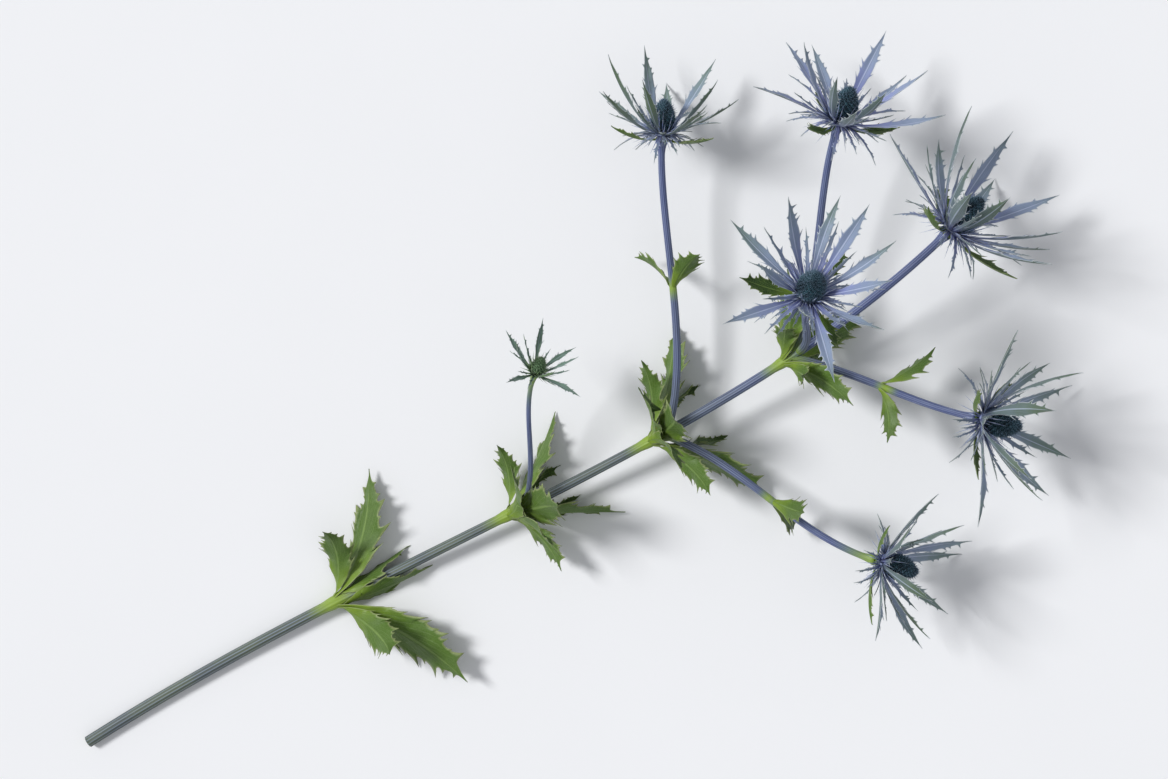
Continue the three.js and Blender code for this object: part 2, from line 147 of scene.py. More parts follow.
def bump(distance, reach):
    """1 at the middle of a bump and 0 from `reach` away."""
    return max(0.0, 1 - abs(distance) / reach)


def stalk_flare(station, length):
    return STALK_FLARE["radius"] * bump((1 - station) * length, STALK_FLARE["length"]) ** 2


def distance_to_node(station):
    return min(abs(station - node) for node in NODES.values()) * main_route.length


def main_radius(station):
    swelling = NODE_SWELLING * ease(bump(distance_to_node(station), NODE_LENGTH), 0, 1)
    return between(*MAIN_RADIUS, station) + swelling + stalk_flare(station, main_route.length)


def branch_route(branch):
    start = main_route.at(branch["at"])
    end = Vector(branch["end"])
    return Route([start, start + Vector(branch["leaves"]), end - Vector(branch["arrives"]), end])


def branch_radius(name):
    branch = BRANCHES[name]
    slim = branch.get("slim", 1)
    length = branch_routes[name].length
    return lambda station: slim * (between(*BRANCH_RADIUS, station) + stalk_flare(station, length))


def grooved_stem(bm, route, radius_at, steps, blue_at):
    """A round, grooved stem along a route: a flat grid rolled up round it, joined along its seam and closed."""
    sides = GROOVES * AROUND_EACH_GROOVE
    blue = bm.verts.layers.float["blue"]
    node = bm.verts.layers.float["node"]
    sheet = bmesh.ops.create_grid(bm, x_segments=sides, y_segments=steps, size=1, calc_uvs=True)["verts"]
    for vert in sheet:
        turn = (vert.co.x + 1) * math.pi
        station = (vert.co.y + 1) / 2
        heading = route.heading(station)
        across = Vector((0, 0, 1)).cross(heading).normalized()
        over = across.cross(heading)
        crest = GROOVE_DEPTH * math.cos(GROOVES * turn + GROOVE_WIND * station)
        ripple = RIPPLE_DEPTH * math.cos(RIPPLES * turn + RIPPLE_WIND * station)
        radius = radius_at(station) * (1 + crest + ripple)
        vert.co = route.at(station) + radius * (math.sin(turn) * across + math.cos(turn) * over)
        vert[blue], vert[node] = blue_at(station)
    bmesh.ops.remove_doubles(bm, verts=sheet, dist=SEAM_DISTANCE)
    ends = [edge for edge in bm.edges if edge.is_boundary]
    return bmesh.ops.holes_fill(bm, edges=ends, sides=0)["faces"]


def shade(tree, kind, inputs=(), **settings):
    """A shader node with its settings, and its sockets set to values or linked to other nodes' outputs."""
    made = tree.nodes.new("ShaderNode" + kind)
    for name, value in settings.items():
        setattr(made, name, value)
    for socket, value in dict(inputs).items():
        if isinstance(value, bpy.types.NodeSocket):
            tree.links.new(value, made.inputs[socket])
        else:
            made.inputs[socket].default_value = value
    return made


def maths(tree, operation, first, second=0.0, third=0.0):
    inputs = {0: first, 1: second, 2: third}
    return shade(tree, "Math", inputs, operation=operation).outputs[0]


def fade(tree, value, low, high, start=0.0, end=1.0):
    """A soft step of a value from `start` at low to `end` at high."""
    inputs = {"Value": value, "From Min": low, "From Max": high, "To Min": start, "To Max": end}
    return shade(tree, "MapRange", inputs, interpolation_type="SMOOTHSTEP").outputs["Result"]


def blend_colour(tree, factor, first, second):
    inputs = {0: factor, 6: first, 7: second}
    return shade(tree, "Mix", inputs, data_type="RGBA").outputs[2]


def painted(tree, colour, coats):
    """A colour with coats laid over it, each given by its mask, the strength of the mask and its own colour."""
    for mask, strength, coat in coats:
        colour = blend_colour(tree, maths(tree, "MULTIPLY", mask, strength), colour, coat)
    return colour


def relief_of(tree, parts):
    """A height summed from patterns, each raised by its share, or sunk where that is below 0."""
    height = 0.0
    for pattern, share in parts:
        height = maths(tree, "MULTIPLY_ADD", pattern, share, height)
    return height


def wander(tree, value, span):
    """A value that runs from half of `span` below 0 to half of it above."""
    return maths(tree, "MULTIPLY_ADD", value, span, -span / 2)


def noise(tree, vector, scale, detail=3.0, roughness=0.55):
    inputs = {"Vector": vector, "Scale": scale, "Detail": detail, "Roughness": roughness}
    return shade(tree, "TexNoise", inputs).outputs["Fac"]


def own_value(tree, name):
    """A value that the mesh carries in an attribute."""
    return shade(tree, "Attribute", attribute_name=name).outputs["Fac"]


def place_on_piece(tree):
    return shade(tree, "TexCoord").outputs["Object"]


def place_on_sheet(tree):
    return shade(tree, "UVMap", uv_map="sheet").outputs["UV"]


def new_material(name):
    material = bpy.data.materials.new(name)
    material.use_nodes = True
    material.node_tree.nodes.clear()
    return material, material.node_tree


def finish_surface(tree, colour, roughness, height, depth, **plain):
    """The shader itself, with the surface's colour, roughness and relief."""
    relief = shade(tree, "Bump", {"Height": height, "Distance": depth, "Strength": 1.0})
    inputs = {"Base Color": colour, "Roughness": roughness, "Normal": relief.outputs["Normal"]}
    inputs.update({name.replace("_", " "): value for name, value in plain.items()})
    surface = shade(tree, "BsdfPrincipled", inputs)
    shade(tree, "OutputMaterial", {"Surface": surface.outputs[0]})


def stem_material():
    """Grooved stem skin: slate and grey-green low down, violet-blue above, yellow-green at the nodes, with painted
    shade in the grooves.
    """
    material, tree = new_material("stem_skin")
    place = place_on_piece(tree)
    sheet = place_on_sheet(tree)
    stretched = shade(tree, "Mapping", {"Vector": sheet, "Scale": (46, 5, 1)}).outputs["Vector"]
    streaks = noise(tree, stretched, scale=1.0, detail=4.0)
    patches = noise(tree, place, scale=38.0)
    specks = noise(tree, place, scale=1400.0, detail=2.0)
    parts = shade(tree, "SeparateXYZ", {0: sheet}).outputs
    winding = maths(tree, "MULTIPLY", parts["Y"], GROOVE_WIND)
    crest = maths(tree, "COSINE", maths(tree, "MULTIPLY_ADD", parts["X"], 2 * math.pi * GROOVES, winding))

    skin = blend_colour(tree, fade(tree, patches, 0.3, 0.7), STEM_SLATE, STEM_GREY_GREEN)
    blueness = maths(tree, "ADD", own_value(tree, "blue"), wander(tree, patches, 0.5))
    skin = blend_colour(tree, fade(tree, blueness, 0.25, 0.95), skin, STALK_BLUE)
    paleness = maths(tree, "MULTIPLY_ADD", blueness, 0.4, 0.25)
    coats = [
        (fade(tree, streaks, 0.48, 0.75), paleness, STALK_PALE),
        (fade(tree, crest, 0.5, 1.0), fade(tree, streaks, 0.3, 0.6, 0.2, 0.6), STALK_PALE),
        # painted shade, darkest at the bottoms of the grooves
        (fade(tree, crest, -1.0, -0.4, 0.45, 0.0), 1.0, GROOVE_PAINTED_SHADE),
    ]
    skin = painted(tree, skin, coats)
    greening = maths(tree, "ADD", own_value(tree, "node"), wander(tree, patches, 0.4))
    skin = blend_colour(tree, fade(tree, greening, 0.1, 0.9), skin, NODE_YELLOW_GREEN)
    skin = blend_colour(tree, fade(tree, specks, 0.62, 0.8, 0, 0.3), skin, STALK_PALE)

    roughness = fade(tree, streaks, 0.3, 0.7, 0.38, 0.6)
    height = maths(tree, "MULTIPLY_ADD", specks, 0.25, streaks)
    finish_surface(tree, skin, roughness, height, depth=0.00018, Specular_IOR_Level=0.5)
    return material


def cut_material():
    """The cut face: cream, spongy pith, with a ring of darker vessels under the skin."""
    material, tree = new_material("cut_face")
    place = place_on_piece(tree)
    grain = noise(tree, place, scale=3800.0, detail=2.0)
    centre = to_frame @ Vector(MAIN_ROUTE[0])
    out = shade(tree, "VectorMath", {0: place, 1: centre}, operation="DISTANCE").outputs["Value"]
    cells = shade(tree, "TexVoronoi", {"Vector": place, "Scale": 1900.0}).outputs["Distance"]
    colour = blend_colour(tree, fade(tree, grain, 0.35, 0.75, 0, 0.5), PITH_CREAM, STEM_GREY_GREEN)
    vessels = maths(tree, "MULTIPLY", fade(tree, out, *VESSEL_RING), fade(tree, cells, 0.15, 0.4, 1, 0.35))
    colour = blend_colour(tree, vessels, colour, VESSEL_GREEN)
    relief = maths(tree, "MULTIPLY_ADD", cells, -0.6, grain)
    finish_surface(tree, colour, roughness=0.7, height=relief, depth=0.0002)
    return material


def finish_piece(name, bm, finishes, node):
    """A finished mesh, in metres in the part's frame, that stands for one solid of the part and stays over z = 0."""
    for vert in bm.verts:
        vert.co.z = max(vert.co.z, 0.0)
    mesh = bpy.data.meshes.new(name)
    bm.to_mesh(mesh)
    bm.free()
    mesh.transform(to_frame)
    mesh.shade_smooth()
    for finish in finishes:
        mesh.materials.append(finish)
    piece = bpy.data.objects.new(name, mesh)
    bpy.context.scene.collection.objects.link(piece)
    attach(piece, "root")
    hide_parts(node)
    return piece


def main_colouring(station):
    """How blue the main stem is, and how near a node, where it is yellow-green."""
    return ease(station, *MAIN_BLUE_SPAN), bump(distance_to_node(station), NODE_GREEN_REACH)


def green_near(kind, distance):
    strength, reach = GREEN_ON_BRANCH[kind]
    return strength * bump(distance, reach)


def branch_colouring(name):
    """A branch is yellow-green in its axil and blue to its head. Two of them stay green right under the head."""
    length = branch_routes[name].length

    def colouring(station):
        greens = [green_near("axil", station * length)]
        if name in GREEN_UNDER_HEAD:
            greens.append(green_near("head", (1 - station) * length))
        if name in LEAFY_BRANCHES:
            greens.append(green_near("joint", (station - 0.5) * length))
        return between(*BRANCH_BLUENESS, station), max(greens)

    return colouring


main_route = Route(MAIN_ROUTE)
branch_routes = {name: branch_route(branch) for name, branch in BRANCHES.items()}

stem_mesh = bmesh.new()
stem_mesh.loops.layers.uv.new("sheet")
stem_mesh.verts.layers.float.new("blue")
stem_mesh.verts.layers.float.new("node")
stem_caps = grooved_stem(stem_mesh, main_route, main_radius, STEM_STEPS, main_colouring)
for branch_name, route in branch_routes.items():
    grooved_stem(stem_mesh, route, branch_radius(branch_name), BRANCH_STEPS, branch_colouring(branch_name))
for cap in stem_caps:
    cap.material_index = 1
    cap.smooth = False
bmesh.ops.recalc_face_normals(stem_mesh, faces=stem_mesh.faces)
stem_surface = BVHTree.FromBMesh(stem_mesh)
finish_piece("stem_skin", stem_mesh, [stem_material(), cut_material()], "stem")


# ------------------------------------------------------------
# The leaves: leathery blades with a spiny edge, in whorls at the stem's nodes. Those on the main stem have three lobes.
# Each clasps the stem with its pale base. What would reach under the surface is pressed flat onto it by the stem's
# weight.
# ------------------------------------------------------------

BROAD_OUTLINE = [
    (0.0, 0.34, 0),
    (0.2, 0.42, 0),
    (0.34, 0.78, 1),
    (0.43, 0.95, -1),
    (0.53, 1.0, 1),
    (0.63, 0.86, -1),
    (0.73, 0.6, 1),
    (0.82, 0.38, -1),
]
LEAF_LOBE = {
    "outline": BROAD_OUTLINE,
    "length": 62,
    "half_width": 8,
    "root_fullness": 0.95,
    "thickness": 1.2,
    "fold": 0.2,
    "spine": 4.2,
    "lean": 0.13,
    "wave": 1.5,
    "rows": 76,
    "columns": 12,
    "tooth_rows": 7,
    "tooth_power": 1.9,
    "tooth_root": 0.25,
    "tooth_sizes": (0.8, 1.2),
    "prickles": 16,
}
SMALL_LEAF = {
    **LEAF_LOBE,
    "length": 32,
    "half_width": 4.6,
    "thickness": 1.0,
    "fold": 0.28,
    "spine": 2.9,
    "wave": 0.8,
    "rows": 52,
    "columns": 8,
    "tooth_rows": 5,
    "prickles": 8,
}
SIDE_LOBE = {"share": 0.68, "splay": 0.72}
FULLNESS = 1.08  # how much wider the real blade is than its faceted solid, between its teeth
EDGE_THICKNESS = 0.3  # the blade's thickness at its edge, as a share of that at its midrib
LEAF_THICKNESS = 0.5
PRESS_DEPTH = 6  # how far under the surface a leaf may still reach, to be pressed flat there
REST_STEPS = 400
REST_TURN = math.radians(0.5)
FOLDED_BACK = math.pi / 2 + 0.3  # a blade that ends past this rests back along the stalk
LEAST_BEND = 0.01
ROLL_REACH = 0.3
CORNER_LEAN = 2.1  # how much further forward a corner with a spine leans than one without
TIP_WIDTH = 0.4  # the width halfway to the tip, as a share of that at the last station
PRICKLES_FROM = 0.24
PRICKLE_SPAN = 0.68
PRICKLE_SIZES = (0.3, 0.62)
PRICKLE_ROWS = 2
TOOTH_FALL = 1.6  # how many rows the steep side of a tooth takes
TOOTH_STARTS = 0.6  # where across the half-width the teeth begin to draw the blade out
TOOTH_LEAN = 1.1
TOOTH_CURL = {"height": 0.18, "turns": 40}
ROOT_BULGE = {"at": 0.17, "reach": 0.25}
EDGE_WAVES = {"turns": 19, "by_tint": 5, "by_side": 2.2, "grow": (0.1, 0.4)}
LOBE_COMES_DOWN = (0.4, 0.7)  # where along it a pressed middle lobe comes down off the lobes under it
SURFACE_CLEARANCE = 0.05
LOBE_GAP = 0.65  # how far apart the faces of two lobes of a leaf are kept
LOBE_GUIDE = 3.0  # how far beside a lobe's edge the next one is still led past it
STEM_GAP = 0.65  # how far from the stem's surface a blade stays once it has left its sheath
GUIDE_PASSES = 5
GUIDE_STARTS = (0.05, 0.14)  # where along its length a lobe begins to be led
OWN_SHARE = 0.5  # what a point keeps of its own move as the moves are smoothed
SHEATH_REACH = 0.15  # how far up its length a leaf still hugs the stem
SHEATH_WRAP = 0.95  # how far round the stem each half of a leaf's base goes, in radians
SHEATH_SEAT = {"radius": (-0.7, 0.45), "rises": 0.07, "side_lobe": 0.3}  # off the stem's own radius
SHEATH_BLEND_FROM = 0.02
LEAF_DRAWS = {"scale": (0.9, 1.1, 0), "from": (34, 46, 1), "to": (62, 84, 2), "tint": (0, 1, 7)}
LEAF_GROWTH = {
    "side_turn": 8,
    "root": 0.4,
    "side_twist": 0.3,
    "twist": (-0.25, 0.25),
    "roll": -0.95,
    "side_hug": 0.6,
}

LEAVES = {
    "low": {"station": NODES["low"], "azimuths": (-94, 86), "size": 1.25, "seed": 11},
    "middle": {"station": NODES["middle"], "azimuths": (-112, 6, 118), "size": 1.05, "seed": 12},
    "branching": {"station": NODES["branching"], "azimuths": (-116, -6, 108), "size": 1.0, "seed": 13},
    "crown": {"station": NODES["crown"], "azimuths": (-65, 60, 178), "size": 0.86, "seed": 14},
}
BRANCH_LEAVES = {
    "left_lower": {"station": 0.5, "azimuths": (40, -130), "size": 1, "seed": 21},
    "right_lower": {"station": 0.52, "azimuths": (-20, 160), "size": 1, "seed": 22},
    "right_upper": {"station": 0.46, "azimuths": (70, -110), "size": 1, "seed": 23},
}

LEAF_DEEP_GREEN = (0.024, 0.056, 0.01, 1)
LEAF_GREEN = (0.072, 0.145, 0.016, 1)
LEAF_UNDERSIDE = (0.085, 0.145, 0.035, 1)
LEAF_YELLOW_GREEN = (0.21, 0.32, 0.02, 1)
VEIN_PALE_GREEN = (0.18, 0.28, 0.07, 1)
MARGIN_STRAW = (0.3, 0.35, 0.15, 1)
WEAR_BROWN = (0.20, 0.09, 0.02, 1)
LONG_VEINS = 4.5
NET_SCALE = 850.0  # cells a metre
NET_DRIFT = 0.0012  # how far the lines of the vein net wander, in metres


def holder_at(route, station):
    """The frame of what grows at a station: its Z goes along the stem."""
    turn = Vector((0, 0, 1)).rotation_difference(route.heading(station))
    return Matrix.Translation(route.at(station)) @ turn.to_matrix().to_4x4()


def azimuth_from_top(holder, degrees):
    """The azimuth in a holder's frame that points `degrees` round the stem from the side that faces up."""
    up = holder.to_3x3().inverted() @ Vector((0, 0, 1))
    return math.atan2(up.y, up.x) + math.radians(degrees)


def sized(style, scale):
    return {
        **style,
        "length": style["length"] * scale,
        "half_width": style["half_width"] * scale,
        "spine": style["spine"] * scale,
    }


def blade_frame(blade, t):
    """The middle of a blade at a share of its length, its sideways direction and the way its inner face looks."""
    start = blade["from"]
    bend = blade["to"] - start
    angle = start + bend * t
    out = blade["radius"] + blade["length"] * (math.cos(start) - math.cos(angle)) / bend
    up = blade["height"] + blade["length"] * (math.sin(angle) - math.sin(start)) / bend
    azimuth = blade["azimuth"] + blade.get("swing", 0) * t
    outward = Vector((math.cos(azimuth), math.sin(azimuth), 0))
    side = Vector((-math.sin(azimuth), math.cos(azimuth), 0))
    middle = outward * out + Vector((0, 0, up))
    inner = Vector((0, 0, math.sin(angle))) - outward * math.cos(angle)
    twist = blade.get("twist", 0) * t + blade.get("roll", 0) * min(1, t / ROLL_REACH)
    turned_side = side * math.cos(twist) + inner * math.sin(twist)
    turned_inner = inner * math.cos(twist) - side * math.sin(twist)
    return middle, turned_side, turned_inner


def lowest_point(blade, holder):
    """How low a blade reaches, at the corners that its solid has."""
    heights = [(holder @ blade_frame(blade, 1)[0]).z]
    for t, width, spine_side in blade["outline"][1:]:
        middle, _, inner = blade_frame(blade, t)
        for way in (1, -1):
            heights.append((holder @ (middle + inner * way * blade["thickness"] / 2)).z)
            spine = blade["spine"] if spine_side == way else 0
            forward = blade["lean"] * (1 - t) * (CORNER_LEAN if spine else 1)
            centre, side, up = blade_frame(blade, t + forward)
            half_width = blade["half_width"] * width + spine
            heights.append((holder @ (centre + side * way * half_width + up * blade["fold"] * half_width)).z)
    return min(heights)


def settled(blade, holder, floor=SURFACE_CLEARANCE):
    """A blade bent until it reaches no lower than `floor`: towards the axis, or back along the stalk."""
    rested = dict(blade)
    way = 1 if blade["to"] > FOLDED_BACK else -1
    for _ in range(REST_STEPS):
        if lowest_point(rested, holder) >= floor:
            break
        rested["to"] += way * REST_TURN
        rested["from"] += way * REST_TURN / 2
        if abs(rested["to"] - rested["from"]) < LEAST_BEND:
            rested["to"] = rested["from"] - LEAST_BEND
    return rested


def half_width_at(outline, t):
    """The share of the greatest half-width at t: one smooth curve through the stations, drawn out to a sharp tip."""
    last_t, last_width, _ = outline[-1]
    marks = [(station, width) for station, width, _ in outline]
    marks += [((1 + last_t) / 2, TIP_WIDTH * last_width), (1.0, 0.0)]
    i = max(k for k, (station, _) in enumerate(marks[:-1]) if station <= t)
    (low, first), (high, second) = marks[i], marks[i + 1]
    before, after = marks[max(0, i - 1)], marks[min(len(marks) - 1, i + 2)]
    span = high - low
    leaving = (second - before[1]) / (high - before[0]) * span
    arriving = (after[1] - first) / (after[0] - low) * span
    x = (t - low) / span
    width = first + x * (leaving + x * (3 * (second - first) - 2 * leaving - arriving))
    return max(0.0, width + x**3 * (2 * (first - second) + leaving + arriving))


def blade_teeth(blade):
    """The teeth of a blade's edge: a long one at each station that has a spine, and small prickles between if any."""
    rows = blade["rows"]
    teeth = []
    for i, (t, _, side) in enumerate(blade["outline"]):
        if side:
            teeth.append((round(t * rows), side, pick(blade["tooth_sizes"], blade["seed"] + 40, i)))
    for i in range(blade["prickles"]):
        t = PRICKLES_FROM + PRICKLE_SPAN * i / blade["prickles"]
        teeth.append((round(t * rows), 1 if i % 2 else -1, pick(PRICKLE_SIZES, blade["seed"] + 41, i)))
    return teeth


def tooth_height(blade, teeth, t, side):
    """How far a tooth stands out at t, from 0 to 1: a hollow slope up to its point and a steep one down."""
    height = 0.0
    for row, way, size in teeth:
        rise = blade["tooth_rows"] if size >= blade["tooth_sizes"][0] else PRICKLE_ROWS
        away = t * blade["rows"] - row
        if way == side and -rise < away <= 0.01:
            height = max(height, size * (1 + away / rise) ** blade["tooth_power"])
        elif way == side and 0 < away < TOOTH_FALL:
            height = max(height, size * (1 - away / TOOTH_FALL) ** 2)
    return height


def sheath_point(blade, across, t):
    """A point of a leaf's base, which is wrapped round the stem."""
    turn = blade["azimuth"] + across * SHEATH_WRAP * blade["hug"]
    seat = between(*SHEATH_SEAT["radius"], ease(t, 0, SHEATH_SEAT["rises"]))
    radius = blade["clasps"] + seat + SHEATH_SEAT["side_lobe"] * (1 - blade["hug"])
    up = blade["height"] + blade["length"] * t * math.cos(blade["from"])
    return Vector((radius * math.cos(turn), radius * math.sin(turn), up))


def blade_point(blade, teeth, across, t):
    """A point of a blade: across goes from -1 to 1 over its width and t from 0 at its root to 1 at its tip."""
    side_way = 1 if across > 0 else -1
    reach = abs(across)
    tooth = 0.0
    if reach > TOOTH_STARTS:
        tooth = tooth_height(blade, teeth, t, side_way) * (1 if reach > 0.99 else blade["tooth_root"] * reach)
    forward = blade["lean"] * (1 - t) * (reach + TOOTH_LEAN * tooth) if t > 0 else 0
    middle, side, inner = blade_frame(blade, min(1, t + forward))
    bulge = ease(bump(t - ROOT_BULGE["at"], ROOT_BULGE["reach"]), 0, 1)
    fullness = FULLNESS + blade["root_fullness"] * bulge
    edge = reach * fullness * blade["half_width"] * half_width_at(blade["outline"], t) + blade["spine"] * tooth
    phase = EDGE_WAVES["turns"] * t + EDGE_WAVES["by_tint"] * blade["tint"] + EDGE_WAVES["by_side"] * side_way
    waves = blade["wave"] * reach**2 * math.sin(phase) * ease(t, *EDGE_WAVES["grow"])
    curl = TOOTH_CURL["height"] * blade["spine"] * tooth * math.sin(TOOTH_CURL["turns"] * t)
    lift = blade["fold"] * edge + waves * (1 - t) ** 0.5 + curl
    point = middle + side * side_way * edge + inner * lift
    if "clasps" in blade and t < SHEATH_REACH:
        point = sheath_point(blade, across, t).lerp(point, ease(t, SHEATH_BLEND_FROM, SHEATH_REACH))
    return point


def blade_sheet(blade, holder):
    """The points of a blade's inner face, in rows from its root to its tip, none of them lower than the surface."""
    teeth = blade_teeth(blade)
    columns = blade["columns"]
    sheet = []
    for j in range(blade["rows"] + 1):
        t = j / blade["rows"]
        over_lobes = blade.get("layers", 0) * LOBE_GAP * (1 - ease(t, *LOBE_COMES_DOWN))
        level = LEAF_THICKNESS + SURFACE_CLEARANCE + over_lobes
        row = [holder @ blade_point(blade, teeth, 2 * i / columns - 1, t) for i in range(columns + 1)]
        sheet.append([Vector((point.x, point.y, max(point.z, level))) for point in row])
    return sheet


def sheet_tree(sheet):
    """A sheet's faces, looking inwards, for finding what lies before it and behind it."""
    width = len(sheet[0])
    corners = [point for row in sheet for point in row]
    starts = [j * width + i for j in range(len(sheet) - 1) for i in range(width - 1)]
    return BVHTree.FromPolygons(corners, [(k, k + width, k + width + 1, k + 1) for k in starts])


def place_by_lobe(point, lobe):
    """How far a point lies before a lobe's inner face, the way that face looks, and how much the lobe covers it."""
    spot, inwards, _, _ = lobe.find_nearest(point)
    away = point - spot
    before = away.dot(inwards)
    return before, inwards, 1 - ease((away - inwards * before).length, 0, LOBE_GUIDE)


def side_of_lobe(sheet, lobe):
    """1 for a sheet that lies mostly before a lobe, where the two overlap, and -1 for one mostly behind it."""
    balance = 0.0
    for row in sheet[round(SHEATH_REACH * len(sheet)) :]:
        for point in row:
            before, _, covered = place_by_lobe(point, lobe)
            balance += max(-1, min(1, before)) * covered
    return 1 if balance > 0 else -1


def shift_past_lobe(point, lobe, way):
    """The move that puts a point on its sheet's own side of a lobe, where it cuts through it."""
    before, inwards, covered = place_by_lobe(point, lobe)
    return inwards * way * max(0, LOBE_GAP - before * way) * covered


def shift_off_stem(point):
    """The move that puts a point that is in the stem or a branch, or nearly touches it, clear of its surface."""
    spot, outwards, _, distance = stem_surface.find_nearest(point)
    if (point - spot).dot(outwards) < 0 and distance < MAIN_RADIUS[0]:
        distance = -distance
    return outwards * max(0, STEM_GAP - distance)


def smoothed(shifts):
    """The moves of a sheet's points, each averaged with its neighbours'."""
    calm = []
    for j, row in enumerate(shifts):
        up, down = shifts[max(0, j - 1)], shifts[min(len(shifts) - 1, j + 1)]
        calm.append([])
        for i, shift in enumerate(row):
            beside = row[max(0, i - 1)] + row[min(len(row) - 1, i + 1)]
            calm[-1].append(shift * OWN_SHARE + (beside + up[i] + down[i]) * (1 - OWN_SHARE) / 4)
    return calm


def guided(sheet, earlier):
    """A sheet led clear of the stem and of its leaf's earlier lobes, from where it leaves its sheath."""
    ways = [side_of_lobe(sheet, lobe) for lobe in earlier]
    for turn in range(GUIDE_PASSES):
        shifts = []
        for j, row in enumerate(sheet):
            free = ease(j / (len(sheet) - 1), *GUIDE_STARTS)
            shifts.append([])
            for point in row:
                shift = shift_off_stem(point)
                for lobe, way in zip(earlier, ways):
                    shift += shift_past_lobe(point, lobe, way)
                shifts[-1].append(shift * free)
        if turn < GUIDE_PASSES - 1:
            shifts = smoothed(shifts)
        sheet = [[point + shift for point, shift in zip(row, moves)] for row, moves in zip(sheet, shifts)]
    return sheet


def add_blade(bm, blade, holder, earlier=None):
    """One blade in the mesh: a flat grid, moved point by point onto its sheet. With `earlier`, the sheets of the lobes
    that its leaf already has, it is led clear of them and of the stem, and joins them."""
    tint = bm.verts.layers.float["tint"]
    body = bm.verts.layers.float["body"]
    sheet = blade_sheet(blade, holder)
    if earlier is not None:
        sheet = guided(sheet, earlier)
        earlier.append(sheet_tree(sheet))
    grid = bmesh.ops.create_grid(
        bm, x_segments=blade["columns"], y_segments=blade["rows"], size=1, calc_uvs=True
    )["verts"]
    for vert in grid:
        across, t = vert.co.x, (vert.co.y + 1) / 2
        vert[tint] = blade["tint"]
        vert[body] = between(1, EDGE_THICKNESS, abs(across) ** 1.5)
        vert.co = sheet[round(t * blade["rows"])][round((across + 1) / 2 * blade["columns"])]
        vert.co.z = max(vert.co.z, LEAF_THICKNESS + SURFACE_CLEARANCE)
    bmesh.ops.remove_doubles(bm, verts=grid, dist=0.002)


def blade_mesh():
    bm = bmesh.new()
    bm.loops.layers.uv.new("sheet")
    bm.verts.layers.float.new("tint")
    bm.verts.layers.float.new("body")
    return bm


def thicken(bm, thickness):
    """Give blades their thickness. The sheet is their inner face. The outer one and the rim get the next finish."""
    bm.normal_update()
    body = bm.verts.layers.float["body"]
    inner_faces = set(bm.faces)
    copied = bmesh.ops.extrude_face_region(bm, geom=bm.faces[:], use_keep_orig=True)["geom"]
    for vert in copied:
        if isinstance(vert, bmesh.types.BMVert):
            vert.co += thickness * vert[body] * vert.normal
            vert.co.z = max(vert.co.z, SURFACE_CLEARANCE)
    for face in bm.faces:
        if face not in inner_faces:
            face.material_index += 1
    bmesh.ops.recalc_face_normals(bm, faces=bm.faces)


def blade_pattern_group():
    """What every blade shows: its midrib, pale edge, side veins, long veins and a mottle, all from its own sheet."""
    group = bpy.data.node_groups.new("blade_pattern", "ShaderNodeTree")
    for name in ("Vein Count", "Vein Slope"):
        group.interface.new_socket(name, in_out="INPUT", socket_type="NodeSocketFloat")
    given = group.nodes.new("NodeGroupInput").outputs
    parts = shade(group, "SeparateXYZ", {0: place_on_sheet(group)}).outputs
    across = maths(group, "ABSOLUTE", maths(group, "MULTIPLY_ADD", parts["X"], 2.0, -1.0))
    along = parts["Y"]
    place = place_on_piece(group)
    mottle = noise(group, place, scale=170.0, detail=4.0)

    slanted = maths(group, "MULTIPLY_ADD", maths(group, "POWER", across, 0.8), given["Vein Slope"], along)
    slanted = maths(group, "MULTIPLY_ADD", mottle, 0.02, slanted)
    side_line = from_line(group, maths(group, "MULTIPLY", slanted, given["Vein Count"]))
    side_veins = maths(group, "MULTIPLY", fade(group, side_line, 0.01, 0.09, 1, 0), fade(group, across, 0.95, 0.6))
    long_line = from_line(group, maths(group, "MULTIPLY", across, LONG_VEINS))

    shown = {
        "Midrib": fade(group, across, 0.03, 0.11, 1, 0),
        "Edge": fade(group, across, 0.86, 0.97),
        "Side Veins": side_veins,
        "Long Veins": fade(group, long_line, 0.05, 0.3, 1, 0),
        "Mottle": mottle,
        "Grain": noise(group, place, scale=1500.0),
        "Along": along,
    }
    for name in shown:
        group.interface.new_socket(name, in_out="OUTPUT", socket_type="NodeSocketFloat")
    taken = group.nodes.new("NodeGroupOutput").inputs
    for name, socket in shown.items():
        group.links.new(socket, taken[name])
    return group


def from_line(tree, value):
    """How far a value is from the nearest of the lines that lie halfway between the whole numbers."""
    return maths(tree, "ABSOLUTE", maths(tree, "ADD", maths(tree, "FRACT", value), -0.5))


def blade_pattern(tree, vein_count, vein_slope):
    made = tree.nodes.new("ShaderNodeGroup")
    made.node_tree = blade_patterns
    made.inputs["Vein Count"].default_value = vein_count
    made.inputs["Vein Slope"].default_value = vein_slope
    return made.outputs


def vein_net(tree):
    """The net of fine veins between the side ones, with lines that wander."""
    place = place_on_piece(tree)
    drift = shade(tree, "TexNoise", {"Vector": place, "Scale": 700.0}).outputs["Color"]
    drifting = {0: drift, 1: (NET_DRIFT, NET_DRIFT, NET_DRIFT), 2: place}
    wandering = shade(tree, "VectorMath", drifting, operation="MULTIPLY_ADD").outputs["Vector"]
    cells = shade(tree, "TexVoronoi", {"Vector": wandering, "Scale": NET_SCALE}, feature="DISTANCE_TO_EDGE")
    return fade(tree, cells.outputs["Distance"], 0.0, 0.2, 1, 0)


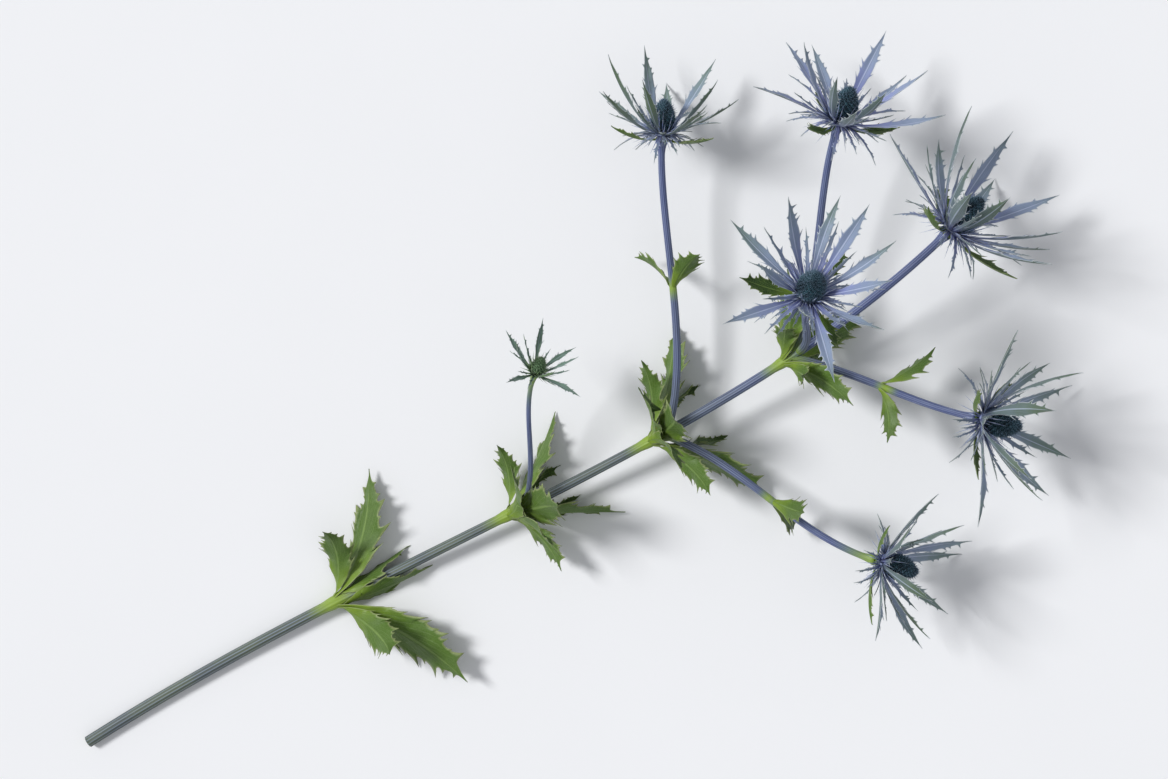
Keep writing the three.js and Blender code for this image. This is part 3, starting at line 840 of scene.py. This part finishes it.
def leaf_material(name, deep, light, vein_strength):
    """Leaf skin: mottled green, yellow-green at the base, with pale veins, a straw edge and a little wear."""
    material, tree = new_material(name)
    pattern = blade_pattern(tree, vein_count=9.0, vein_slope=-0.42)
    mottle, net = pattern["Mottle"], vein_net(tree)
    shift = maths(tree, "MULTIPLY_ADD", own_value(tree, "tint"), 0.3, maths(tree, "MULTIPLY_ADD", mottle, 0.8, -0.15))
    base = maths(tree, "MULTIPLY_ADD", mottle, 0.25, pattern["Along"])
    spots = noise(tree, place_on_piece(tree), scale=95.0, detail=5.0, roughness=0.65)
    coats = [
        (fade(tree, base, 0.1, 0.62, 1, 0), 1.0, LEAF_YELLOW_GREEN),
        (net, 0.26, VEIN_PALE_GREEN),
        (pattern["Side Veins"], vein_strength, VEIN_PALE_GREEN),
        (pattern["Midrib"], 0.9, VEIN_PALE_GREEN),
        (pattern["Edge"], 0.75, MARGIN_STRAW),
        (fade(tree, spots, 0.69, 0.76), 0.8, WEAR_BROWN),
    ]
    colour = painted(tree, blend_colour(tree, fade(tree, shift, 0.2, 0.8), deep, light), coats)
    sunk = [(net, -0.08), (pattern["Side Veins"], -0.3), (pattern["Midrib"], -0.6)]
    relief = relief_of(tree, [(mottle, 0.5), (pattern["Grain"], 0.2), *sunk])
    roughness = fade(tree, mottle, 0.3, 0.7, 0.4, 0.56)
    finish_surface(tree, colour, roughness, relief, depth=0.0003, Specular_IOR_Level=0.35)
    return material


def leaf_piece(node, whorl, index, holder, stem_radius, style, lobed):
    """One leaf, with the same rule for its lobes, bend and twist as its solid."""
    bm = blade_mesh()
    seed, degrees = whorl["seed"], whorl["azimuths"][index]
    draw = drawn(LEAF_DRAWS, seed, index)
    scale = whorl["size"] * draw["scale"]
    earlier = []
    for i, side in enumerate((0, 1, -1) if lobed else (0,)):
        opened = abs(side) * math.radians(LEAF_GROWTH["side_turn"])
        blade = {
            **sized(style, scale * (SIDE_LOBE["share"] if side else 1)),
            "azimuth": azimuth_from_top(holder, degrees),
            "radius": stem_radius * LEAF_GROWTH["root"],
            "height": 0,
            "from": math.radians(draw["from"]) + opened,
            "to": math.radians(draw["to"]) + opened,
            "twist": side * LEAF_GROWTH["side_twist"] + pick(LEAF_GROWTH["twist"], seed + index, i),
            "swing": side * SIDE_LOBE["splay"],
            "roll": LEAF_GROWTH["roll"] * math.sin(math.radians(degrees)),
            "tint": draw["tint"],
            "seed": seed + i,
            "clasps": stem_radius,
            "hug": LEAF_GROWTH["side_hug"] if side else 1.0,
            "layers": 1 if lobed and not side else 0,
        }
        add_blade(bm, settled(blade, holder, -PRESS_DEPTH), holder, earlier)
    thicken(bm, LEAF_THICKNESS)
    finish_piece(node + "_blade", bm, [leaf_upper, leaf_under], node)


def whorl_of_leaves(prefix, route, whorl, style, radius_at, lobed):
    holder = holder_at(route, whorl["station"])
    for i in range(len(whorl["azimuths"])):
        leaf_piece(f"{prefix}_leaf_{i + 1}", whorl, i, holder, radius_at(whorl["station"]), style, lobed)


blade_patterns = blade_pattern_group()
leaf_upper = leaf_material("leaf_upper_face", LEAF_DEEP_GREEN, LEAF_GREEN, 0.75)
leaf_under = leaf_material("leaf_under_face", LEAF_GREEN, LEAF_UNDERSIDE, 0.5)

for whorl_name, whorl in LEAVES.items():
    whorl_of_leaves(whorl_name, main_route, whorl, LEAF_LOBE, main_radius, True)
for branch_name, whorl in BRANCH_LEAVES.items():
    route = branch_routes[branch_name]
    whorl_of_leaves(branch_name, route, whorl, SMALL_LEAF, branch_radius(branch_name), False)


# ------------------------------------------------------------
# The collars: under each flower head, a green receptacle at the stalk's end that carries three leafy, spiny bracts.
# ------------------------------------------------------------

SEAT_GAP = 0.3
HEADS = {
    "terminal": {"scale": 1.0, "bracts": 12, "seed": 1, "green": 0.3},
    "left_upper": {"scale": 0.88, "bracts": 11, "seed": 2, "green": 0.1},
    "right_upper": {"scale": 0.92, "bracts": 11, "seed": 3, "green": 0.5},
    "raised": {"scale": 0.9, "bracts": 11, "seed": 4, "green": 0.25},
    "left_lower": {"scale": 0.8, "bracts": 10, "seed": 5, "green": 0.75},
    "right_lower": {"scale": 0.84, "bracts": 10, "seed": 6, "green": 0.6},
    "bud": {"scale": 0.46, "bracts": 8, "seed": 7, "green": 0.5},
}
COLLAR_DISC = {"radius": 4.4, "height": 2.4}
PAD_SQUASH = 0.56
COLLAR_BRACT = {
    **LEAF_LOBE,
    "length": 36,
    "half_width": 3.7,
    "root_fullness": 0.4,
    "thickness": 1.0,
    "fold": 0.3,
    "spine": 2.3,
    "lean": 0.12,
    "wave": 0.3,
    "rows": 46,
    "columns": 8,
    "tooth_rows": 5,
    "tooth_power": 2.2,
    "prickles": 6,
}
COLLAR_BRACTS = 3
COLLAR_DRAWS = {"scale": (0.85, 1.1, 30), "to": (48, 66, 31), "twist": (-0.5, 0.5, 32), "tint": (0, 1, 33)}
COLLAR_GROWTH = {"from": 93, "out": 0.75, "rise": 0.42}  # out and rise as shares of the disc's radius and height


def head_blade(head, style, draws, index, own):
    """A blade of a flower head, from its style, what is drawn for it and what is its own. Its bend is in degrees."""
    draw = drawn(draws, head["seed"], index)
    blade = {**sized(style, head["scale"] * draw.pop("scale")), "seed": head["seed"] + index, **draw, **own}
    return {**blade, "from": math.radians(blade["from"]), "to": math.radians(blade["to"])}


def receptacle(bm, holder, radius, start, height):
    """The round pad that bracts grow from: a ball squashed to a thick disc, seated from `start` up."""
    seat = holder @ Matrix.Translation((0, 0, start + height / 2))
    squash = Matrix.Diagonal((radius, radius, height * PAD_SQUASH, 1))
    bmesh.ops.create_uvsphere(bm, u_segments=24, v_segments=12, radius=1, matrix=seat @ squash, calc_uvs=True)


def collar_piece(name, head, holder, turn):
    bm = blade_mesh()
    for i in range(COLLAR_BRACTS):
        own = {
            "azimuth": math.radians(turn + 360 // COLLAR_BRACTS * i),
            "radius": COLLAR_DISC["radius"] * head["scale"] * COLLAR_GROWTH["out"],
            "height": SEAT_GAP + COLLAR_DISC["height"] * COLLAR_GROWTH["rise"],
            "from": COLLAR_GROWTH["from"],
        }
        add_blade(bm, settled(head_blade(head, COLLAR_BRACT, COLLAR_DRAWS, i, own), holder), holder)
    thicken(bm, LEAF_THICKNESS)
    receptacle(bm, holder, COLLAR_DISC["radius"] * head["scale"], SEAT_GAP, COLLAR_DISC["height"])
    finish_piece(name + "_collar_bracts", bm, [leaf_upper, leaf_under], name + "_collar")


def head_holder(name):
    route = main_route if name == "terminal" else branch_routes[name]
    return holder_at(route, 1)


def head_turn(head):
    return 360 * vary(head["seed"], 3)


for head_name, head in HEADS.items():
    if head_name != "bud":
        collar_piece(head_name, head, head_holder(head_name), head_turn(head))


# ------------------------------------------------------------
# The bracts: a ring of stiff, blue, spiny blades round each cone, in a rising and a spreading tier, with needles
# between them and a fringe of narrow, folded-back bracts below. They grow from one receptacle over the collar.
# ------------------------------------------------------------

SLIM_OUTLINE = [(0.0, 1.0, 0), (0.3, 0.75, 1), (0.5, 0.8, -1), (0.7, 0.55, 1)]
BRACT = {
    **LEAF_LOBE,
    "length": 58,
    "half_width": 3.3,
    "root_fullness": 0.4,
    "thickness": 1.0,
    "fold": 0.34,
    "spine": 2.9,
    "lean": 0.12,
    "wave": 0.35,
    "rows": 56,
    "columns": 8,
    "tooth_rows": 1.6,
    "tooth_power": 2.2,
    "tooth_root": 0.0,
    "tooth_sizes": (0.42, 0.95),
    "prickles": 3,
}
FRINGE_BRACT = {
    **BRACT,
    "outline": SLIM_OUTLINE,
    "length": 26,
    "half_width": 0.8,
    "thickness": 0.8,
    "fold": 0.2,
    "spine": 1.9,
    "lean": 0.14,
    "wave": 0.1,
    "rows": 26,
    "columns": 4,
    "tooth_rows": 2.4,
    "tooth_power": 2.6,
    "prickles": 4,
}
NARROW_BRACT = {
    **BRACT,
    "outline": SLIM_OUTLINE,
    "length": 38,
    "half_width": 1.25,
    "spine": 2.4,
    "rows": 36,
    "columns": 4,
    "prickles": 5,
}
RING_DISC = {"radius": 6.9, "height": 3.0}
TIERS = (
    {"rise": 0.42, "from": (66, 78, 2), "to": (38, 82, 3)},
    {"rise": 0.62, "from": (44, 52, 2), "to": (14, 34, 3)},
)
BRACT_DRAWS = {
    "scale": (0.84, 1.06, 0),
    "twist": (-0.55, 0.55, 4),
    "swing": (-0.14, 0.14, 5),
    "tint": (-0.25, 0.25, 10),
}
BRACT_GROWTH = {"turn": 20, "uneven": 0.24, "out": 0.8}
NARROW_DRAWS = {
    "scale": (0.7, 1.1, 16),
    "beside": (0.4, 0.6, 17),
    "from": (56, 74, 18),
    "to": (34, 96, 19),
    "twist": (-0.6, 0.6, 20),
}
NARROW_GROWTH = {"rise": 0.5, "tint": 0.8, "seed": 30}
FRINGE_AZIMUTHS = (30, 60, 90, 150, 180, 210, 270, 300, 330)
FRINGE_DRAWS = {"scale": (0.7, 1.15, 6), "twist": (-0.4, 0.4, 8)}
FRINGE_BEND = {"to": (112, 152, 7)}
FRINGE_TINT = {"tint": (-0.25, 0.1, 13)}
FRINGE_GROWTH = {"out": 0.88, "rise": 1.0, "from": 98, "tint": 0.6}
FINER_FRINGE = {"turn": 13, "scale": 0.3, "rise": 0.5, "from": 12, "to": 16}  # how the finer bracts differ
NEEDLES = [
    {"around": 52, "length": 19, "angles": (16, 78), "rise": 0.75, "seed": 9},
    {"around": 44, "length": 15, "angles": (86, 148), "rise": 0.3, "seed": 15},
]
NEEDLE_RADIUS = 0.42
NEEDLE_GROWTH = {"lengths": (0.5, 1.15), "out": 0.86}
BRACT_THICKNESS = 0.42

# the bracts' roots: partly their own deeper blue, partly painted shade where they crowd round the cone
BRACT_INDIGO_AND_PAINTED_SHADE = (0.10, 0.115, 0.32, 1)
BRACT_VIOLET = (0.235, 0.27, 0.55, 1)
BRACT_STEEL_BLUE = (0.24, 0.305, 0.44, 1)
BRACT_GREY_GREEN = (0.165, 0.24, 0.2, 1)
BRACT_UNDERSIDE = (0.075, 0.125, 0.055, 1)
BRACT_UNDERSIDE_GREY = (0.12, 0.17, 0.17, 1)
BRACT_UNDERSIDE_BLUE = (0.15, 0.19, 0.32, 1)
RIB_ICE_BLUE = (0.55, 0.62, 0.80, 1)
EDGE_PALE = (0.62, 0.67, 0.7, 1)
NEEDLE_BLUE = (0.20, 0.26, 0.48, 1)
NEEDLE_PALE = (0.50, 0.55, 0.66, 1)
BUD_GREEN = (0.12, 0.23, 0.06, 1)
BUD_BLUE_GREEN = (0.125, 0.215, 0.15, 1)
BUD_NEEDLE_PALE = (0.26, 0.34, 0.24, 1)


def spike(bm, sides, radius, length, place):
    """A thin pointed cone, along the Z of the place that its middle is at."""
    bmesh.ops.create_cone(bm, cap_ends=True, segments=sides, radius1=radius, radius2=0, depth=length, matrix=place)


def needle(bm, holder, azimuth, radius, height, length, angle):
    """A thin four-sided spine with its root at a height and radius, leaning off the axis by an angle."""
    root = Matrix.Translation((radius, 0, height)) @ Matrix.Rotation(angle, 4, "Y")
    place = holder @ Matrix.Rotation(azimuth, 4, "Z") @ root @ Matrix.Translation((0, 0, length / 2))
    spike(bm, 4, NEEDLE_RADIUS, length, place)


def ring_bract(head, turn, start, i):
    """One broad bract of the ring. Every second one belongs to the rising tier, the rest to the spreading one."""
    tier = TIERS[i % 2]
    draws = {**BRACT_DRAWS, "from": tier["from"], "to": tier["to"]}
    step = 360 * (i + BRACT_GROWTH["uneven"] * (vary(head["seed"] + 1, i) - 0.5)) / head["bracts"]
    own = {
        "azimuth": math.radians(turn + BRACT_GROWTH["turn"] + step),
        "radius": RING_DISC["radius"] * head["scale"] * BRACT_GROWTH["out"],
        "height": start + RING_DISC["height"] * tier["rise"],
    }
    blade = head_blade(head, BRACT, draws, i, own)
    blade["tint"] += head["green"]
    return blade


def narrow_bract(head, start, beside, i):
    """The narrow bract between one broad bract and the next."""
    own = {
        "radius": beside["radius"],
        "height": start + RING_DISC["height"] * NARROW_GROWTH["rise"],
        "tint": NARROW_GROWTH["tint"] * beside["tint"],
        "seed": head["seed"] + NARROW_GROWTH["seed"] + i,
    }
    blade = head_blade(head, NARROW_BRACT, NARROW_DRAWS, i, own)
    blade["azimuth"] = beside["azimuth"] + blade.pop("beside") * math.tau / head["bracts"]
    return blade


def add_needles(bm, head, holder, start, needles):
    """One round of needles from the receptacle, each with its own length and lean off the axis."""
    seed = head["seed"]
    for i in range(needles["around"]):
        share = vary(seed + needles["seed"], i)
        lean = math.radians(pick(needles["angles"], seed + 12, i))
        length = needles["length"] * head["scale"] * between(*NEEDLE_GROWTH["lengths"], share)
        radius = RING_DISC["radius"] * head["scale"] * NEEDLE_GROWTH["out"]
        height = start + RING_DISC["height"] * needles["rise"]
        needle(bm, holder, 2 * math.pi * (i + share) / needles["around"], radius, height, length, lean)


def ring_piece(name, head, holder, turn, finishes):
    bm = blade_mesh()
    collared = name != "bud"
    start = COLLAR_DISC["height"] + 2 * SEAT_GAP if collared else SEAT_GAP
    for i in range(head["bracts"]):
        broad = ring_bract(head, turn, start, i)
        for blade in (broad, narrow_bract(head, start, broad, i)):
            add_blade(bm, settled(blade, holder), holder)
    for i in range(len(FRINGE_AZIMUTHS) if collared else 0):
        for finer in (0, 1):
            add_blade(bm, settled(fringe_bract(head, turn, start, i, finer), holder), holder)
    thicken(bm, BRACT_THICKNESS * head["scale"] ** 0.5)
    blades = set(bm.faces)
    for needles in NEEDLES if collared else NEEDLES[:1]:
        add_needles(bm, head, holder, start, needles)
    for face in bm.faces:
        if face not in blades:
            face.material_index = 2
    receptacle(bm, holder, RING_DISC["radius"] * head["scale"], start, RING_DISC["height"])
    finish_piece(name + "_bract_ring", bm, finishes, name + "_bracts")


def fringe_bract(head, turn, start, i, finer):
    """One narrow bract under the ring, a main one where `finer` is 0 or the finer one beside it where it is 1."""
    bend = drawn(FRINGE_BEND, head["seed"], i + 3 * finer)["to"]
    tint = drawn(FRINGE_TINT, head["seed"], i + finer)["tint"]
    own = {
        "azimuth": math.radians(turn + FRINGE_AZIMUTHS[i] + FINER_FRINGE["turn"] * finer),
        "radius": RING_DISC["radius"] * head["scale"] * FRINGE_GROWTH["out"],
        "height": start + FRINGE_GROWTH["rise"] + FINER_FRINGE["rise"] * finer,
        "from": FRINGE_GROWTH["from"] - FINER_FRINGE["from"] * finer,
        "to": bend - FINER_FRINGE["to"] * finer,
        "tint": FRINGE_GROWTH["tint"] * head["green"] + tint,
    }
    blade = head_blade(head, FRINGE_BRACT, FRINGE_DRAWS, i, own)
    return sized(blade, 1 - FINER_FRINGE["scale"] * finer)


def bract_material(name, root, base, middle, tip, rib_strength):
    """Bract skin: dark at the root and changing to the tip, with an ice-blue midrib and a pale, spiny edge. In the
    ring's bracts the dark root is partly their own deeper blue and partly painted shade.
    """
    material, tree = new_material(name)
    pattern = blade_pattern(tree, vein_count=11.0, vein_slope=-0.5)
    along = pattern["Along"]
    where = maths(tree, "MULTIPLY_ADD", pattern["Mottle"], 0.5, along)
    where = maths(tree, "MULTIPLY_ADD", own_value(tree, "tint"), 0.8, where)
    coats = [
        (fade(tree, where, 0.45, 0.95), 1.0, middle),
        (fade(tree, where, 0.95, 1.6), 1.0, tip),
        (pattern["Long Veins"], 0.1, RIB_ICE_BLUE),
        (pattern["Side Veins"], 0.12, RIB_ICE_BLUE),
        (pattern["Midrib"], rib_strength, RIB_ICE_BLUE),
        (maths(tree, "MAXIMUM", pattern["Edge"], fade(tree, along, 0.93, 0.98)), 0.8, EDGE_PALE),
    ]
    # the root colour, which in the ring's bracts is deep indigo that is partly painted shade
    colour = painted(tree, blend_colour(tree, fade(tree, along, 0.02, 0.34), root, base), coats)
    raised = [(pattern["Long Veins"], 0.35), (pattern["Grain"], 0.4), (pattern["Midrib"], 0.7)]
    roughness = fade(tree, pattern["Mottle"], 0.3, 0.7, 0.4, 0.55)
    finish_surface(tree, colour, roughness, relief_of(tree, raised), depth=0.0002, Specular_IOR_Level=0.5)
    return material


def needle_material(name, deep, pale):
    """Stiff needles: one colour, and paler in patches."""
    material, tree = new_material(name)
    grain = noise(tree, place_on_piece(tree), scale=420.0)
    colour = blend_colour(tree, fade(tree, grain, 0.35, 0.7), deep, pale)
    finish_surface(tree, colour, roughness=0.45, height=grain, depth=0.0001, Specular_IOR_Level=0.5)
    return material


inner_colours = (BRACT_INDIGO_AND_PAINTED_SHADE, BRACT_VIOLET, BRACT_STEEL_BLUE, BRACT_GREY_GREEN)
outer_colours = (BRACT_INDIGO_AND_PAINTED_SHADE, BRACT_UNDERSIDE_BLUE, BRACT_UNDERSIDE_GREY, BRACT_UNDERSIDE)
bract_inner = bract_material("bract_inner_face", *inner_colours, 0.75)
bract_outer = bract_material("bract_outer_face", *outer_colours, 0.5)
bud_inner = bract_material("bud_inner_face", BUD_GREEN, BUD_GREEN, BUD_BLUE_GREEN, BUD_BLUE_GREEN, 0.4)
bud_outer = bract_material("bud_outer_face", LEAF_GREEN, LEAF_GREEN, BUD_GREEN, BUD_GREEN, 0.3)
needle_skin = needle_material("needle_skin", NEEDLE_BLUE, NEEDLE_PALE)
bud_needle_skin = needle_material("bud_needle_skin", BUD_GREEN, BUD_NEEDLE_PALE)

for head_name, head in HEADS.items():
    young = head_name == "bud"
    finishes = [bud_inner, bud_outer, bud_needle_skin] if young else [bract_inner, bract_outer, needle_skin]
    ring_piece(head_name, head, head_holder(head_name), head_turn(head), finishes)


# ------------------------------------------------------------
# The cones: an egg-shaped knob of tightly packed florets in spirals. Each floret is a small five-pointed cup with a
# stiff spine beside it. The cone sits on the ring of bracts.
# ------------------------------------------------------------

CONE = {"radius": 7.0, "height": 19, "base": 0.22, "bluntness": 0.8}
FLORETS = 190
BUD_FLORETS = 0.45  # how many the bud has, as a share of an open head's
BUD_FLORET_SIZE = 0.62
FLORET = {"bottom": 0.45, "top": 0.95, "depth": 2.4, "point": 1.1}
SEPAL = {"sides": 3, "radius": 0.34, "out": 0.72, "lean": 24}
FLORET_SPINE = {"sides": 3, "radius": 0.26, "length": 5.2, "at": (0.9, 0, 1.2), "lean": 12}
CORE_SHARE = 0.9
CORE_HEIGHT = 0.96
SPIRAL_TURN = math.radians(137.508)
FLORET_SEAT = 0.93
FLORET_SIZES = (0.85, 1.15)
RISE_STEP = 0.02
FLORET_SPREAD = {"from": 0.03, "over": 0.95, "crowding": 0.94}  # up the cone
FLORET_RISE = 0.35  # how far the florets lean towards the top from straight out, in radians

CONE_DEEP_TEAL = (0.008, 0.026, 0.038, 1)
CONE_TEAL = (0.022, 0.075, 0.095, 1)
CONE_TIP_BLUE = (0.20, 0.30, 0.42, 1)
BUD_CONE_GREEN = (0.11, 0.2, 0.1, 1)
BUD_CONE_PALE = (0.3, 0.4, 0.22, 1)


def cone_girth(rise):
    return max(math.sin(math.pi * (CONE["base"] + (1 - CONE["base"]) * rise)), 0.0) ** CONE["bluntness"]


def floret_mesh():
    """One floret, pointing along Z: a cup that widens upwards, five pointed sepals and a spine beside it."""
    bm = bmesh.new()
    shine = bm.verts.layers.float.new("tint")
    sides = {"radius1": FLORET["bottom"], "radius2": FLORET["top"], "depth": FLORET["depth"]}
    bmesh.ops.create_cone(bm, cap_ends=True, segments=5, **sides)
    for i in range(5):
        place = Matrix.Rotation(math.radians(72 * i + 36), 4, "Z")
        place = place @ Matrix.Translation((FLORET["top"] * SEPAL["out"], 0, FLORET["depth"] / 2))
        place = place @ Matrix.Rotation(math.radians(SEPAL["lean"]), 4, "Y")
        spike(bm, SEPAL["sides"], SEPAL["radius"], FLORET["point"] * 2, place)
    leaning = Matrix.Rotation(math.radians(FLORET_SPINE["lean"]), 4, "Y")
    place = Matrix.Translation(FLORET_SPINE["at"]) @ leaning
    spike(bm, FLORET_SPINE["sides"], FLORET_SPINE["radius"], FLORET_SPINE["length"], place)
    for vert in bm.verts:
        vert[shine] = ease(vert.co.z, FLORET["depth"] * 0.35, FLORET["depth"] * 0.5 + FLORET["point"])
    mesh = bpy.data.meshes.new("floret")
    bm.to_mesh(mesh)
    bm.free()
    return mesh


def add_core(bm, holder, start, radius, height):
    """The closed body of a cone, under its florets."""
    for vert in bmesh.ops.create_uvsphere(bm, u_segments=20, v_segments=14, radius=1)["verts"]:
        rise = 1 - math.acos(max(-1, min(1, vert.co.z))) / math.pi
        flat = math.hypot(vert.co.x, vert.co.y) or 1
        girth = radius * cone_girth(rise) * CORE_SHARE if 0.01 < rise < 0.99 else 0
        x, y = vert.co.x / flat * girth, vert.co.y / flat * girth
        vert.co = holder @ Vector((x, y, start + height * rise * CORE_HEIGHT))


def cone_piece(name, head, holder, finish):
    young = name == "bud"
    radius, height = CONE["radius"] * head["scale"], CONE["height"] * head["scale"]
    start = (0 if young else COLLAR_DISC["height"] + SEAT_GAP) + RING_DISC["height"] + 2 * SEAT_GAP
    bm = bmesh.new()
    bm.verts.layers.float.new("tint")
    add_core(bm, holder, start, radius, height)
    florets = int(FLORETS * (BUD_FLORETS if young else 1))
    size = BUD_FLORET_SIZE if young else head["scale"]
    for i in range(florets):
        share = (i + 0.5) / florets
        rise = FLORET_SPREAD["from"] + FLORET_SPREAD["over"] * share ** FLORET_SPREAD["crowding"]
        girth = radius * cone_girth(rise)
        girth_above = radius * cone_girth(min(0.995, rise + RISE_STEP))
        outward = math.atan2(height * RISE_STEP, girth - girth_above)
        place = (
            holder
            @ Matrix.Rotation(i * SPIRAL_TURN, 4, "Z")
            @ Matrix.Translation((girth * FLORET_SEAT, 0, start + height * rise))
            @ Matrix.Rotation(max(0.0, outward - FLORET_RISE), 4, "Y")
            @ Matrix.Scale(size * pick(FLORET_SIZES, head["seed"] + 20, i), 4)
        )
        floret = floret_shape.copy()
        floret.transform(place)
        bm.from_mesh(floret)
        bpy.data.meshes.remove(floret)
    bmesh.ops.recalc_face_normals(bm, faces=bm.faces)
    finish_piece(name + "_florets", bm, [finish], name + "_cone")


def floret_material(name, deep, skin, tip):
    """Matt floret skin, dark between the florets and pale at the points of the sepals and spines."""
    material, tree = new_material(name)
    place = place_on_piece(tree)
    patches = noise(tree, place, scale=260.0)
    grain = noise(tree, place, scale=2200.0, detail=2.0)
    colour = blend_colour(tree, fade(tree, patches, 0.35, 0.65), deep, skin)
    shine = maths(tree, "MULTIPLY_ADD", grain, 0.25, own_value(tree, "tint"))
    colour = blend_colour(tree, fade(tree, shine, 0.35, 1.05), colour, tip)
    roughness = fade(tree, patches, 0.3, 0.7, 0.5, 0.7)
    finish_surface(tree, colour, roughness, grain, depth=0.00015, Specular_IOR_Level=0.35)
    return material


floret_shape = floret_mesh()
floret_teal = floret_material("floret_teal", CONE_DEEP_TEAL, CONE_TEAL, CONE_TIP_BLUE)
floret_green = floret_material("floret_green", BUD_CONE_GREEN, BUD_CONE_GREEN, BUD_CONE_PALE)
for head_name, head in HEADS.items():
    young = head_name == "bud"
    finish = floret_green if young else floret_teal
    cone_piece(head_name, head, head_holder(head_name), finish)


# ------------------------------------------------------------
# The studio: a plain pale floor, soft light from large lamps over it, and a camera that looks down on the stem and
# sees it lean up to the right.
# ------------------------------------------------------------

FLOOR_SIZE = 14.0
FLOOR_WHITE = (0.88, 0.885, 0.90, 1)
FLOOR_SHADE = (0.87, 0.875, 0.89, 1)
SKY = {"colour": (0.93, 0.95, 1.0, 1), "strength": 0.38}
LAMPS = [
    {"name": "key_lamp", "from": (-0.55, 0.75, 1.0), "softness": 16, "strength": 2.45},
    {"name": "fill_lamp", "from": (0.8, -0.6, 1.2), "softness": 60, "strength": 0.25},
]
AIM = Vector((0.0378, 0.0316, 0.03))
CAMERA_DISTANCE = 2.0
CAMERA_LENS = 119
CAMERA_TILT = 10  # degrees off straight down, towards the heads
STEM_LEAN = 30  # how steeply the stem rises to the right in the picture, in degrees


def studio_floor():
    bm = bmesh.new()
    bmesh.ops.create_grid(bm, x_segments=1, y_segments=1, size=FLOOR_SIZE / 2)
    mesh = bpy.data.meshes.new("floor")
    bm.to_mesh(mesh)
    bm.free()
    material, tree = new_material("floor_white")
    grain = noise(tree, place_on_piece(tree), scale=8.0)
    colour = blend_colour(tree, fade(tree, grain, 0.2, 0.8), FLOOR_WHITE, FLOOR_SHADE)
    finish_surface(tree, colour, roughness=0.6, height=grain, depth=0.00001, Specular_IOR_Level=0.3)
    mesh.materials.append(material)
    floor = bpy.data.objects.new("floor", mesh)
    bpy.context.scene.collection.objects.link(floor)


def studio_lamp(lamp):
    """A far, wide lamp: its light is as strong all over the floor, and its shadows have soft edges."""
    light = bpy.data.lights.new(lamp["name"], "SUN")
    light.angle = math.radians(lamp["softness"])
    light.energy = lamp["strength"]
    stand = bpy.data.objects.new(lamp["name"], light)
    stand.location = lamp["from"]
    stand.rotation_euler = Vector(lamp["from"]).to_track_quat("Z", "Y").to_euler()
    bpy.context.scene.collection.objects.link(stand)


def studio_camera():
    """The camera over the stem, tilted towards its heads, and turned so that the stem leans to the right."""
    tilt = math.radians(CAMERA_TILT)
    away = Vector((math.sin(tilt), 0, math.cos(tilt)))
    lean = math.radians(STEM_LEAN)
    right = Vector((math.cos(lean), -math.sin(lean), 0))
    right = (right - right.dot(away) * away).normalized()
    up = away.cross(right)
    camera = bpy.data.objects.new("camera", bpy.data.cameras.new("camera"))
    camera.data.lens = CAMERA_LENS
    camera.data.clip_end = 20
    facing = Matrix((right, up, away)).transposed().to_4x4()
    camera.matrix_world = Matrix.Translation(AIM + CAMERA_DISTANCE * away) @ facing
    bpy.context.scene.collection.objects.link(camera)
    bpy.context.scene.camera = camera


def studio_world():
    world = bpy.data.worlds.new("studio")
    world.use_nodes = True
    backdrop = world.node_tree.nodes["Background"]
    backdrop.inputs["Color"].default_value = SKY["colour"]
    backdrop.inputs["Strength"].default_value = SKY["strength"]
    bpy.context.scene.world = world
    bpy.context.scene.view_settings.view_transform = "Standard"


studio_floor()
for lamp in LAMPS:
    studio_lamp(lamp)
studio_camera()
studio_world()
